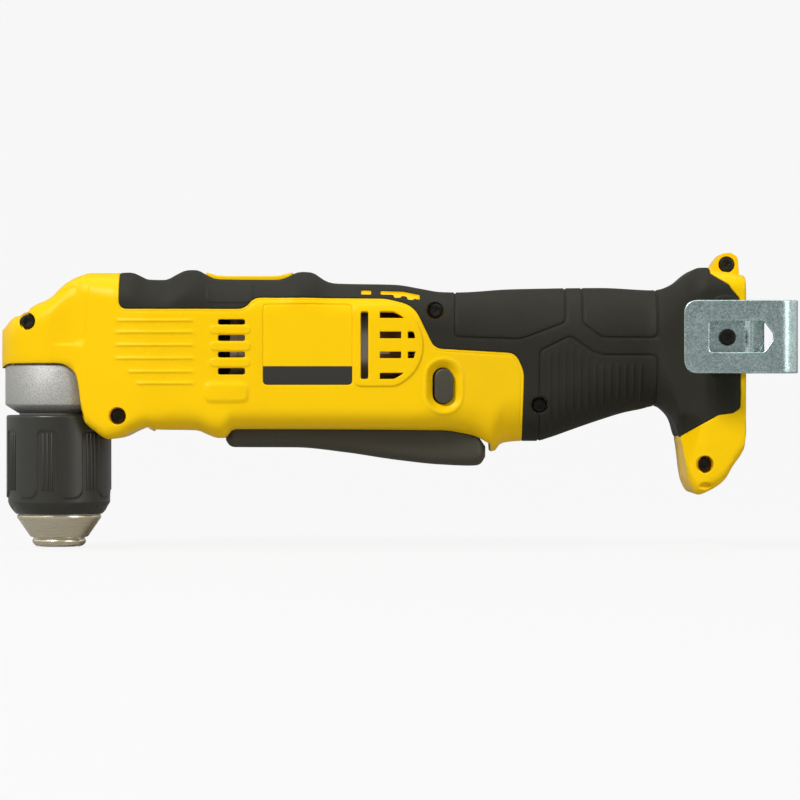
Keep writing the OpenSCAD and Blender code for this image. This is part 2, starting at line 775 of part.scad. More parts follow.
module terminal_block() {
    color("#232325")
    difference() {
        box([bay_x, -block_half_w, bay_top - block_h], [bay_x + block_depth, block_half_w, bay_top]);
        blade_slots();
    }
}
module blade_at(i, grow) {
    y = (i - (blades - 1) / 2) * blade_pitch;
    x = bay_x + block_depth / 2;
    translate([x, y, bay_top - block_h - blade_len / 2])
        translate([-blade_w / 2 - grow, -blade_t / 2 - grow, 0])
            cube([blade_w + 2 * grow, blade_t + 2 * grow, blade_len]);
}
module blade_slots() {
    for (i = [0 : blades - 1]) blade_at(i, 0);
}
module terminal_blades() {
    color("#c8a24a") blade_slots();
}

// Belt hook: a folded strip of sheet steel on the left side of the foot

hook_z_share = 0.708;
hook_screw_share = 0.974;
hook_left_share = 0.913;
hook_step_share = 0.996;
hook_corner_r = 6;
hook_seat_y = -foot_half_w;
hook_step = 3;
hook_z = z_at(hook_z_share);
hook_screw_x = x_at(hook_screw_share);
hook_fold_r = belt_gap / 2 + hook_t;
hook_fold_share = 1.04;
hook_fold_x = x_at(hook_fold_share);
hook_foot_half = 8;
hook_window_shares = [0.946, 1.018, 1.031];
hook_window_half_share = 0.052;
hook_slot_shares = [1.0227, 1.05];
hook_screw_r = 2;
hook_head_r = 3.6;
hook_head_h = 2.2;
insert_r = 3.2;
insert_len = 5.6;
function arc(center, r, from, to, steps) = [
    for (i = [0 : steps]) let (a = from + (to - from) * i / steps) center + r * [cos(a), sin(a)]
];
hook_inner_y = hook_seat_y - hook_step - hook_t;
hook_fold = [hook_fold_x, hook_inner_y - belt_gap / 2];
fold_steps = 14;
hook_start_x = hook_screw_x - hook_foot_half;
hook_strip = concat(
    [
        [hook_start_x, hook_seat_y], [x_at(hook_step_share), hook_seat_y],
        [x_at(hook_step_share) + hook_step, hook_seat_y - hook_step]
    ],
    arc(hook_fold, hook_fold_r, 90, -90, fold_steps),
    [
        [x_at(hook_left_share), hook_fold[1] - hook_fold_r],
        [x_at(hook_left_share), hook_fold[1] - hook_fold_r + hook_t]
    ],
    arc(hook_fold, hook_fold_r - hook_t, -90, 90, fold_steps),
    [
        [x_at(hook_step_share) + hook_step - hook_t / 2, hook_inner_y],
        [x_at(hook_step_share) - hook_t / 2, hook_seat_y - hook_t], [hook_start_x, hook_seat_y - hook_t]
    ]
);
module hook_window() {
    half = z_at(hook_window_half_share);
    x = [for (s = hook_window_shares) x_at(s)];
    outline = [[x[0], -half], [x[1], -half], [x[2], 0], [x[1], half], [x[0], half]];
    translate([0, hook_fold[1], hook_z]) rotate([90, 0, 0]) linear_extrude(across) polygon(outline);
}
module hook_slot() {
    half = z_at(hook_window_half_share);
    x = [for (s = hook_slot_shares) x_at(s)];
    box([x[0], hook_fold[1], hook_z - half], [x[1], hook_seat_y, hook_z + half]);
}
module belt_hook() {
    color("#c3c7cb")
    difference() {
        translate([0, 0, hook_z - hook_w / 2]) linear_extrude(hook_w) polygon(hook_strip);
        hook_window();
        hook_slot();
        pin_across(hook_screw_x, hook_z, hook_screw_r + seat_gap, hook_fold[1], 0);
        for (side = [-1, 1]) hook_corner(side);
    }
}
module hook_corner(side) {
    x = x_at(hook_left_share);
    z = hook_z + side * (hook_w / 2 - hook_corner_r);
    difference() {
        box(
            [x - over, -2 * across, min(z, z + side * (hook_corner_r + over))],
            [x + hook_corner_r, hook_fold[1], max(z, z + side * (hook_corner_r + over))]
        );
        pin_across(x + hook_corner_r, z, hook_corner_r, -2 * across, 0);
    }
}
module hook_screw() {
    head_y = hook_seat_y - hook_t;
    color("#26241f")
    difference() {
        union() {
            pin_across(hook_screw_x, hook_z, hook_head_r, head_y - hook_head_h, head_y);
            pin_across(
                hook_screw_x, hook_z, hook_screw_r - run_gap, head_y, hook_seat_y + insert_len - over
            );
        }
        translate([hook_screw_x, head_y - hook_head_h / 2, hook_z]) rotate([90, 0, 0])
            cylinder(h = hook_head_h, r = screw_drive_r, $fn = 6);
    }
}
module insert_pockets() {
    for (side = [-1, 1])
        pin_across(
            hook_screw_x, hook_z, insert_r + seat_gap / 2,
            min(side * (foot_half_w - insert_len), side * across),
            max(side * (foot_half_w - insert_len), side * across), 32
        );
}
module hook_inserts() {
    color("#b08d3c")
    for (side = [-1, 1]) {
        low = side < 0 ? -foot_half_w : foot_half_w - insert_len;
        difference() {
            pin_across(hook_screw_x, hook_z, insert_r, low, low + insert_len);
            pin_across(hook_screw_x, hook_z, hook_screw_r, low - over, low + insert_len + over);
        }
    }
}
hook_boss_r = 6;
module hook_bosses() {
    pin_across(hook_screw_x, hook_z, hook_boss_r, -across, -bay_half_w, 24);
    pin_across(hook_screw_x, hook_z, hook_boss_r, bay_half_w, across, 24);
}
// Flat seats for the hook on both sides of the foot
module hook_seats() {
    for (side = [-1, 1]) {
        low = side < 0 ? -across : foot_half_w;
        box(
            [hook_start_x - over, low, hook_z - hook_w / 2 - over],
            [rear_x + over, low + across - foot_half_w, hook_z + hook_w / 2 + over]
        );
    }
}

// Work light under the head, aimed at the bit
led_share = 0.2;
led_r = 2.8;
led_len = 6;
led_tilt = 26;
led_x = x_at(led_share);
led_proud = 0.8;
module led_shape(grow, length) {
    translate([led_x, 0, bottom_z(led_x) - led_proud]) rotate([0, led_tilt, 0])
        cylinder(h = length, r = led_r + grow, $fn = 32);
}
module led_lens() {
    color("#e8eef2")
    led_shape(0, led_len);
}

// The two shells

module chuck_pocket() {
    translate([0, 0, -over]) cylinder(h = collar_low + over, r = sleeve_r + 2 * slot_gap, $fn = 72);
    translate([0, 0, collar_low - over])
        cylinder(h = case_shoulder_z - collar_low + over, r = collar_r + seat_gap, $fn = 72);
    translate([0, 0, collar_low])
        cylinder(h = head_case_top - collar_low + seat_gap, r = head_case_r + seat_gap, $fn = 72);
    along_x(0, axis_z, case_r + seat_gap, cover_x, 72);
}
module housing(side) {
    color("#f6c300")
    one_side(side) union() {
        difference() {
            union() {
                difference() {
                    body_solid(0);
                    hollow();
                }
                intersection() {
                    body_solid(0);
                    union() {
                        screw_bosses();
                        difference() {
                            union() {
                                ribs();
                                bay_walls();
                                hook_bosses();
                                difference() {
                                    button_wells();
                                    button_well_core();
                                }
                            }
                            gear_room();
                        }
                        difference() {
                            pivot_bosses();
                            box(
                                [0, -paddle_half_w - slot_gap, 0],
                                [rear_x, paddle_half_w + slot_gap, body_height]
                            );
                        }
                    }
                }
                lug();
                bezel();
            }
            intersection() {
                grip_region();
                difference() {
                    body_solid(-over);
                    body_solid(grip_t);
                }
                grip_keep_out();
            }
            intersection() {
                label_region();
                difference() {
                    body_solid(-over);
                    body_solid(label_t);
                }
            }
            screw_holes();
            vents();
            trigger_room();
            button_cuts();
            selector_cuts();
            chuck_pocket();
            bay_room();
            insert_pockets();
            hook_seats();
            led_shape(seat_gap, led_len + over);
            lead_passages();
        }
        rails();
    }
}
// The stretch where the gear case, motor and rotor pass through the ribs
module gear_room() {
    along_x(rear_bearing_x - over, axis_z, rear_bearing_r + seat_gap, rib_t + 2 * over, 48);
    translate([0, 0, 0]) cylinder(h = body_height, r = collar_r + seat_gap, $fn = 72);
}
// The bezel and the lug stand up through the rubber
module grip_keep_out() {
    difference() {
        box([-across, -across, -across], [body_length + across, across, 3 * across]);
        bezel();
        lug();
    }
}
module grip(side) {
    color("#3a3935")
    one_side(side) difference() {
        intersection() {
            grip_region();
            difference() {
                body_solid(0);
                body_solid(grip_t);
            }
            grip_keep_out();
        }
        screw_holes();
        button_cuts();
        selector_cuts();
        bay_room();
        insert_pockets();
        hook_seats();
    }
}
module label(side) {
    color("#f0bd00")
    one_side(side) intersection() {
        label_region();
        difference() {
            body_solid(0);
            body_solid(label_t);
        }
    }
}

// Gear case: collar, bevel chamber and planetary barrel in one casting

collar_low = 59.5;
collar_chamfer = 1.2;
collar_foot_r = 14;
collar_foot_gap = 0.9;
collar_foot_low = sleeve_top + collar_foot_gap;
case_shoulder_z = 79;
head_case_r = 20;
head_case_top = 92;
head_boss_r = 8.6;
head_boss_top = 99.6;
barrel_x = 10;
bevel_room_r = 17.6;
bevel_room_low = 73.5;
upper_bearing_r = 7;
upper_bearing_low = 93;
upper_bearing_w = 5.5;
upper_bore_in = 5;
upper_spindle_r = 4;
lower_bearing_r = 13;
lower_bearing_low = 63;
lower_bearing_w = 8;
spindle_r = 6;
pinion_bearing_r = 11;
pinion_bearing_x = 20.5;
pinion_bearing_w = 8;
pinion_shaft_r = 5;
case_web_x = pinion_bearing_x + pinion_bearing_w;
case_web_t = 2.5;
shift_slot_half = bracket_half_w / 2 + 2 * move_gap;
module gear_case() {
    color("#bfc0bd")
    difference() {
        union() {
            translate([0, 0, collar_foot_low])
                cylinder(
                    h = collar_low - collar_foot_low, r1 = collar_foot_r, r2 = collar_r - collar_chamfer, $fn = 128
                );
            translate([0, 0, collar_low])
                cylinder(h = collar_chamfer, r1 = collar_r - collar_chamfer, r2 = collar_r, $fn = 128);
            translate([0, 0, collar_low + collar_chamfer])
                cylinder(h = case_shoulder_z - collar_low - collar_chamfer, r = collar_r, $fn = 128);
            translate([0, 0, case_shoulder_z - over])
                cylinder(h = head_case_top - case_shoulder_z + over, r = head_case_r, $fn = 128);
            translate([0, 0, head_case_top - over])
                cylinder(h = head_boss_top - head_case_top + over, r = head_boss_r, $fn = 96);
            along_x(barrel_x, axis_z, case_r, cover_x - barrel_x, 128);
        }
        translate([0, 0, bevel_room_low])
            cylinder(h = head_case_top - 2 * over - bevel_room_low, r = bevel_room_r, $fn = 96);
        translate([0, 0, upper_bearing_low - upper_bore_in])
            cylinder(h = upper_bearing_w + upper_bore_in, r = upper_bearing_r, $fn = 96);
        translate([0, 0, lower_bearing_low])
            cylinder(h = bevel_room_low - lower_bearing_low + over, r = lower_bearing_r, $fn = 96);
        translate([0, 0, collar_foot_low - over])
            cylinder(h = lower_bearing_low - collar_foot_low + 2 * over, r = flange_r + seat_gap, $fn = 96);
        along_x(pinion_bearing_x - 2 * over, axis_z, pinion_bearing_r, pinion_bearing_w + 2 * over);
        along_x(0, axis_z, pinion_bearing_r - over, case_web_x);
        along_x(case_web_x - over, axis_z, pinion_bearing_r - 2 * over, case_web_t + 2 * over);
        along_x(case_web_x + case_web_t, axis_z, case_bore_r, cover_x);
        box(
            [bracket_x - move_gap, -shift_slot_half, axis_z + case_bore_r - over],
            [bracket_x + ring_groove_w + shift_travel, shift_slot_half, axis_z + case_r + over]
        );
        case_screw_pattern() cylinder(h = case_screw_len, r = case_screw_r, center = true, $fn = 32);
    }
}
case_screw_r = 0.9;
case_screw_len = 12;
case_screw_count = 4;
case_screw_head_r = 1.45;
case_screw_head_h = 1.4;
case_screw_pcr = (case_r + case_bore_r) / 2;
module case_screw_pattern() {
    for (i = [0 : case_screw_count - 1])
        on_axis(cover_x) rotate([0, 0, (i + 0.5) * 360 / case_screw_count])
            translate([case_screw_pcr, 0, 0]) children();
}
module gear_case_cover() {
    color("#aeb0b0")
    difference() {
        along_x(cover_x, axis_z, case_r, cover_t, 128);
        along_x(cover_x - over, axis_z, motor_bearing_r, cover_t + 2 * over);
        case_screw_pattern() cylinder(h = case_screw_len, r = case_screw_r, center = true, $fn = 32);
    }
}
module case_screws() {
    color("#3b3b3b")
    case_screw_pattern() {
        translate([0, 0, cover_t]) cylinder(h = case_screw_head_h, r = case_screw_head_r, $fn = 32);
        translate([0, 0, cover_t - case_screw_len / 2])
            cylinder(h = case_screw_len / 2, r = case_screw_r, $fn = 32);
    }
}

// Spur gears: involute flanks, teeth thinned for backlash

pressure_angle = 20;
tooth_thinning = 0.1;
addendum_share = 0.8;
ring_addendum_share = 0.55;
dedendum_share = 1.15;
flank_steps = 3;
function involute_angle(a) = tan(a) * 180 / PI - a;
// Half of a tooth's angle at radius r, on a gear of pitch radius pitch_r and so many teeth
function tooth_half_angle(r, pitch_r, teeth, shift, thinning) =
    let (
        base_r = pitch_r * cos(pressure_angle),
        thick = 90 / teeth * (1 + 4 * shift * tan(pressure_angle) / PI),
        at_pitch = thick - thinning / 2 / pitch_r * 180 / PI,
        flank = r > base_r ? acos(base_r / r) : 0
    )
    at_pitch + involute_angle(pressure_angle) - involute_angle(flank);
function polar(r, a) = [r * cos(a), r * sin(a)];
function gear_outline(teeth, pitch_r, root_r, tip_r, thinning) = [
    for (t = [0 : teeth - 1], side = [-1, 1], i = [0 : flank_steps])
        let (
            share = side < 0 ? i / flank_steps : 1 - i / flank_steps,
            r = root_r + share * (tip_r - root_r),
            a = side * tooth_half_angle(r, pitch_r, teeth, 0, thinning)
        )
        polar(r, 360 * t / teeth + a)
];
module spur_gear(
    teeth, size, face, addendum = addendum_share, dedendum = dedendum_share, thinning = tooth_thinning
) {
    pitch_r = teeth * size / 2;
    linear_extrude(face)
        polygon(gear_outline(teeth, pitch_r, pitch_r - dedendum * size, pitch_r + addendum * size, thinning));
}
first_sun_teeth = 12;
first_planet_teeth = 18;
first_ring_teeth = first_sun_teeth + 2 * first_planet_teeth;
second_sun_teeth = 21;
second_planet_teeth = 12;
second_ring_teeth = second_sun_teeth + 2 * second_planet_teeth;
first_reach = (first_sun_teeth + first_planet_teeth) * first_module / 2;
second_reach = (second_sun_teeth + second_planet_teeth) * second_module / 2;
planets = 3;
planet_bore_r = 1.5;
planet_pin_r = planet_bore_r - run_gap;
sliding_ring_r = case_bore_r - run_gap;
// Turn of a planet at angle a, which puts a gap against the sun's tooth
function planet_turn(a, sun_teeth, planet_teeth) =
    a + 180 - 180 / planet_teeth + a * sun_teeth / planet_teeth;
module ring_gear(teeth, planet_teeth, size, r, length) {
    difference() {
        cylinder(h = length, r = r, $fn = 128);
        translate([0, 0, -over]) rotate([0, 0, (planet_teeth - 1) * 180 / teeth])
            spur_gear(teeth, size, length + 2 * over, dedendum_share, ring_addendum_share, -tooth_thinning);
    }
}
module planet(i, sun_teeth, planet_teeth, size, reach, x, face) {
    a = 360 * i / planets;
    color("#8d9094")
    on_axis(x) rotate([0, 0, a]) translate([reach, 0, 0])
        rotate([0, 0, planet_turn(a, sun_teeth, planet_teeth) - a])
            difference() {
                spur_gear(planet_teeth, size, face);
                translate([0, 0, -over]) cylinder(h = face + 2 * over, r = planet_bore_r, $fn = 48);
            }
}
module first_planet(i) {
    planet(i, first_sun_teeth, first_planet_teeth, first_module, first_reach, first_stage_x, first_face);
}
module second_planet(i) {
    planet(
        i, second_sun_teeth, second_planet_teeth, second_module, second_reach, second_stage_x, second_face
    );
}
first_ring_len = cover_x - first_ring_x;
module first_ring_gear() {
    color("#77797c")
    on_axis(first_ring_x)
        ring_gear(
            first_ring_teeth, first_planet_teeth, first_module, case_bore_r - run_gap, first_ring_len
        );
}
module sliding_ring_gear() {
    color("#77797c")
    difference() {
        on_axis(sliding_ring_x)
            ring_gear(
                second_ring_teeth, second_planet_teeth, second_module, sliding_ring_r, sliding_ring_len
            );
        on_axis(sliding_ring_x + sliding_ring_len / 2 - ring_groove_w / 2) difference() {
            cylinder(h = ring_groove_w, r = sliding_ring_r + over, $fn = 128);
            translate([0, 0, -over])
                cylinder(h = ring_groove_w + 2 * over, r = sliding_ring_r - ring_groove_depth, $fn = 128);
        }
    }
}
module carrier_pins(reach, x, length) {
    for (i = [0 : planets - 1])
        on_axis(x) rotate([0, 0, 360 * i / planets]) translate([reach, 0, 0])
            cylinder(h = length, r = planet_pin_r, $fn = 48);
}
first_carrier_r = 14.6;
second_carrier_r = 15.4;
second_sun_gap = 0.4;
module first_carrier() {
    color("#85878a") {
        difference() {
            along_x(first_carrier_x, axis_z, first_carrier_r, first_carrier_t);
            along_x(first_carrier_x + first_carrier_t / 2, axis_z, 2 * shaft_r, first_carrier_t);
        }
        carrier_pins(first_reach, first_carrier_x, first_carrier_t + stage_gap + first_face);
        on_axis(second_stage_x + second_sun_gap - stage_gap)
            spur_gear(
                second_sun_teeth, second_module,
                first_carrier_x - second_stage_x - second_sun_gap + stage_gap
            );
    }
}
module second_carrier() {
    color("#85878a")
    difference() {
        union() {
            along_x(second_carrier_x, axis_z, second_carrier_r, second_carrier_t);
            carrier_pins(second_reach, second_carrier_x, second_carrier_t + stage_gap + second_face);
        }
        along_x(second_carrier_x - over, axis_z, pinion_shaft_r, second_carrier_t + 2 * over);
    }
}

// Bevel gears: involute teeth wrapped on the pitch cones, whose tips meet on the chuck's axis

bevel_shift = 0.35;
bevel_addendum_share = 0.95;
bevel_thinning = 0.16;
bevel_dedendum_share = 1.25;
pinion_r = bevel_pinion_teeth * bevel_module / 2;
gear_r = bevel_gear_teeth * bevel_module / 2;
cone_r = norm([pinion_r, gear_r]);
function bevel_outline(teeth, cone_angle, shift) =
    let (
        pitch_r = teeth * bevel_module / 2 / cos(cone_angle),
        shown_teeth = teeth / cos(cone_angle),
        root_r = pitch_r - (bevel_dedendum_share - shift) * bevel_module,
        tip_r = pitch_r + (bevel_addendum_share + shift) * bevel_module
    )
    [
        for (t = [0 : teeth - 1], side = [-1, 1], i = [0 : flank_steps])
            let (
                share = side < 0 ? i / flank_steps : 1 - i / flank_steps,
                r = root_r + share * (tip_r - root_r),
                tilt = cone_angle + (r - pitch_r) / cone_r * 180 / PI,
                a = side * tooth_half_angle(r, pitch_r, shown_teeth, shift, bevel_thinning),
                turn = 360 * t / teeth + a * r / (cone_r * sin(tilt))
            )
            [sin(tilt) * cos(turn), sin(tilt) * sin(turn), cos(tilt)]
    ];
module bevel_teeth(teeth, cone_angle, shift) {
    outline = bevel_outline(teeth, cone_angle, shift);
    n = len(outline);
    inner_r = cone_r - bevel_face;
    rim = cos(cone_angle) * cone_r;
    points = concat(
        [for (p = outline) inner_r * p], [for (p = outline) cone_r * p],
        [[0, 0, cos(cone_angle) * inner_r], [0, 0, rim]]
    );
    faces = concat(
        [for (j = [0 : n - 1]) [j, n + (j + 1) % n, (j + 1) % n]],
        [for (j = [0 : n - 1]) [j, n + j, n + (j + 1) % n]],
        [for (j = [0 : n - 1]) [2 * n, j, (j + 1) % n]],
        [for (j = [0 : n - 1]) [2 * n + 1, n + (j + 1) % n, n + j]]
    );
    polyhedron(points, faces);
}
pinion_cone = atan(pinion_r / gear_r);
pinion_hub_r = 5.5;
gear_hub_r = 10;
gear_hub_len = 6;
gear_low = axis_z - pinion_r - gear_hub_len;
pinion_hub_end = pinion_bearing_x - 2 * run_gap;
module bevel_pinion() {
    color("#7d8084")
    translate([0, 0, axis_z]) rotate([0, 90, 0]) {
        rotate([0, 0, 180 / bevel_pinion_teeth]) bevel_teeth(bevel_pinion_teeth, pinion_cone, bevel_shift);
        translate([0, 0, gear_r - over])
            cylinder(h = pinion_hub_end - gear_r + over, r = pinion_hub_r, $fn = 64);
        translate([0, 0, gear_r])
            cylinder(
                h = second_carrier_x + second_carrier_t - gear_r, r = pinion_shaft_r - run_gap / 2,
                $fn = 64
            );
    }
}
module bevel_gear() {
    color("#7d8084")
    difference() {
        union() {
            translate([0, 0, axis_z]) mirror([0, 0, 1])
                bevel_teeth(bevel_gear_teeth, 90 - pinion_cone, -bevel_shift);
            translate([0, 0, gear_low]) cylinder(h = gear_hub_len, r = gear_hub_r, $fn = 64);
        }
        cylinder(h = body_height, r = gear_seat_r, $fn = 64);
    }
}
gear_seat_r = 5;
flange_r = 9;
thread_r = 4.7;
thread_low = 38;
screw_hole_r = 2.6;
screw_hole_top = 50;
module spindle() {
    color("#9a9c9e")
    difference() {
        union() {
            translate([0, 0, thread_low])
                cylinder(h = sleeve_top - thread_low, r = thread_r - run_gap, $fn = 64);
            translate([0, 0, sleeve_top + seat_gap])
                cylinder(h = lower_bearing_low - sleeve_top - seat_gap - run_gap, r = flange_r, $fn = 64);
            translate([0, 0, sleeve_top])
                cylinder(h = gear_low - sleeve_top, r = spindle_r - run_gap, $fn = 64);
            translate([0, 0, gear_low - over])
                cylinder(h = axis_z - pinion_r - gear_low + over, r = gear_seat_r, $fn = 64);
            translate([0, 0, gear_low])
                cylinder(
                    h = upper_bearing_low + upper_bearing_w - gear_low, r = upper_spindle_r - run_gap,
                    $fn = 64
                );
        }
        translate([0, 0, thread_low - over])
            cylinder(h = screw_hole_top - thread_low + over, r = screw_hole_r, $fn = 48);
    }
}

// Ball bearings drawn as closed rings with a groove in each face
bearing_groove_depth = 0.5;
module bearing(bore_r, r, w) {
    mid = (bore_r + r) / 2;
    groove = (r - bore_r) / 4;
    difference() {
        cylinder(h = w, r = r, $fn = 96);
        translate([0, 0, -over]) cylinder(h = w + 2 * over, r = bore_r, $fn = 64);
        for (z = [-over, w - bearing_groove_depth]) translate([0, 0, z]) difference() {
            cylinder(h = over + bearing_groove_depth, r = mid + groove, $fn = 96);
            translate([0, 0, -over]) cylinder(h = 4 * over, r = mid - groove, $fn = 96);
        }
    }
}
module spindle_bearings() {
    color("#a9abad") {
        translate([0, 0, lower_bearing_low]) bearing(spindle_r, lower_bearing_r, lower_bearing_w);
        translate([0, 0, upper_bearing_low]) bearing(upper_spindle_r, upper_bearing_r, upper_bearing_w);
    }
}
module pinion_bearing() {
    color("#a9abad") on_axis(pinion_bearing_x)
        bearing(pinion_shaft_r + run_gap / 2, pinion_bearing_r, pinion_bearing_w);
}
module motor_bearings() {
    color("#a9abad") {
        on_axis(front_bearing_x) bearing(shaft_r + run_gap, motor_bearing_r, motor_bearing_w);
        on_axis(rear_bearing_x) bearing(shaft_r + run_gap, rear_bearing_r, motor_bearing_w);
    }
}

// Motor

module motor_can() {
    color("#b4b6b8")
    difference() {
        union() {
            along_x(can_x, axis_z, can_flange_r, can_flange_t, 128);
            along_x(can_x, axis_z, can_r, can_len, 128);
        }
        along_x(can_x + can_flange_t, axis_z, can_r - can_wall, can_len, 128);
        along_x(can_x - over, axis_z, can_throat_r, can_len);
    }
}
can_throat_r = 15;
magnet_gap = 0.6;
magnet_half_angle = 62;
module motor_magnets() {
    inner = core_r + magnet_gap;
    outer = can_r - can_wall - run_gap;
    color("#4a4a4d")
    for (side = [0, 180])
        on_axis(core_x) rotate([0, 0, side - magnet_half_angle])
            rotate_extrude(angle = 2 * magnet_half_angle, $fn = 96)
                translate([inner, 0]) square([outer - inner, core_len]);
}
module motor_shaft() {
    color("#a6a8aa")
    along_x(
        first_stage_x + stage_gap, axis_z, shaft_r,
        rear_bearing_x + motor_bearing_w - first_stage_x - stage_gap, 64
    );
}
module motor_pinion() {
    color("#85878a")
    on_axis(first_stage_x) difference() {
        spur_gear(first_sun_teeth, first_module, first_face);
        translate([0, 0, stage_gap]) cylinder(h = first_face, r = shaft_r, $fn = 64);
    }
}
fan_blades = 11;
fan_hub_r = 6;
fan_blade_t = 1.2;
fan_disc_t = 1.2;
module motor_fan() {
    color("#2a2a2a")
    difference() {
        union() {
            along_x(fan_x, axis_z, fan_hub_r, fan_len);
            along_x(fan_x + fan_len - fan_disc_t, axis_z, fan_r, fan_disc_t);
            for (i = [0 : fan_blades - 1])
                on_axis(fan_x) rotate([0, 0, 360 * i / fan_blades])
                    translate([fan_hub_r - over, -fan_blade_t / 2, 0])
                        cube([fan_r - fan_hub_r, fan_blade_t, fan_len]);
        }
        along_x(fan_x - over, axis_z, shaft_r, fan_len + 2 * over, 64);
    }
}
core_slots = 12;
core_slot_w = 2.4;
core_slot_depth = 5;
module armature_core() {
    color("#6c6d70")
    difference() {
        along_x(core_x, axis_z, core_r, core_len, 128);
        along_x(core_x - over, axis_z, shaft_r, core_len + 2 * over, 64);
        for (i = [0 : core_slots - 1])
            on_axis(core_x - over) rotate([0, 0, 360 * i / core_slots])
                translate([core_r - core_slot_depth, -core_slot_w / 2, 0])
                    cube([core_slot_depth + over, core_slot_w, core_len + 2 * over]);
    }
}
module armature_windings() {
    color("#b5672d")
    for (x = [core_x - winding_len, core_x + core_len]) difference() {
        along_x(x, axis_z, winding_r, winding_len);
        along_x(x - over, axis_z, shaft_r, winding_len + 2 * over, 64);
    }
}
module commutator() {
    color("#c07a3c")
    difference() {
        along_x(commutator_x, axis_z, commutator_r, commutator_len);
        along_x(commutator_x - over, axis_z, shaft_r, commutator_len + 2 * over, 64);
    }
}
brush_w = 5;
brush_len = 9;
brush_gap = 0.1;
holder_t = 0.8;
brush_inset = 4.5;
brush_x = commutator_x + brush_inset;
holder_gap = 2;
card_gap = 1;
card_wall = 3;
module brush_block(side, grow, from, to) {
    y = [side * from, side * to];
    box(
        [brush_x - grow, min(y), axis_z - brush_w / 2 - grow],
        [brush_x + brush_w + grow, max(y), axis_z + brush_w / 2 + grow]
    );
}
module carbon_brushes() {
    color("#333335")
    for (side = [-1, 1]) brush_block(side, 0, commutator_r + brush_gap, commutator_r + brush_len);
}
module brush_holders() {
    color("#c8a24a")
    for (side = [-1, 1]) difference() {
        brush_block(side, holder_t, commutator_r + holder_gap, commutator_r + brush_len + holder_t);
        brush_block(side, 0, 0, commutator_r + brush_len);
    }
}
module brush_card() {
    color("#3c3c40")
    difference() {
        union() {
            along_x(can_end_x, axis_z, card_r, card_len);
            along_x(rear_bearing_x - over, axis_z, rear_bearing_r + card_gap, over);
        }
        along_x(can_end_x - over, axis_z, commutator_r + card_gap, card_len + 3 * over);
        along_x(can_end_x - over, axis_z, card_r - card_wall, card_len - card_wall);
        for (side = [-1, 1]) brush_block(side, holder_t, commutator_r + holder_gap, card_r + over);
    }
}

// Leads inside the shells: from the terminal block through the bay's wall to the switch, and from the
// switch through the rear bearing's rib to the brush card
lead_r = 1.1;
lead_y = 6;
block_lead_z_share = 0.78;
battery_lead_shares = [
    [0.93, 0.775], [0.9, 0.765], [0.86, 0.745], [0.82, 0.71], [0.78, 0.665], [0.75, 0.625]
];
switch_lead_z_share = 0.585;
card_lead_y = 14;
card_lead_z = axis_z + 2 * lead_r;
motor_lead_shares = [[0.622, 0.69, 0.5], [0.61, 0.735, 0.6], [0.59, 0.735, 0.8], [0.573, 0.715, 0.95]];
block_lead_z = z_at(block_lead_z_share);
function lead_point(share, y) = [x_at(share[0]), y, z_at(share[1])];
function battery_lead_route(side) = concat(
    [[bay_x - seat_gap, side * lead_y, block_lead_z], [bay_x - bay_wall - over, side * lead_y, block_lead_z]],
    [for (s = battery_lead_shares) lead_point(s, side * lead_y)],
    [[switch_x + switch_len + seat_gap, side * lead_y, z_at(switch_lead_z_share)]]
);
function motor_lead_route(side) = concat(
    [[plunger_x, side * lead_y, switch_high + seat_gap]],
    [for (s = motor_lead_shares) lead_point(s, side * s[2] * card_lead_y)],
    [
        [rear_bearing_x + rib_t + over, side * card_lead_y, card_lead_z],
        [rear_bearing_x + seat_gap, side * card_lead_y, card_lead_z]
    ]
);
module lead_passages() {
    for (side = [-1, 1]) {
        translate([0, side * lead_y, 0])
            along_x(bay_x - bay_wall - over, block_lead_z, lead_r + move_gap, bay_wall + 2 * over, 24);
        translate([0, side * card_lead_y, 0])
            along_x(rear_bearing_x - over, card_lead_z, lead_r + move_gap, rib_t + 2 * over, 24);
    }
}
module battery_leads() {
    color("#b3261e")
    for (side = [-1, 1]) tube(battery_lead_route(side), lead_r, 8);
}
module motor_leads() {
    color("#1d1d1d")
    for (side = [-1, 1]) tube(motor_lead_route(side), lead_r, 8);
}

// Keyless chuck

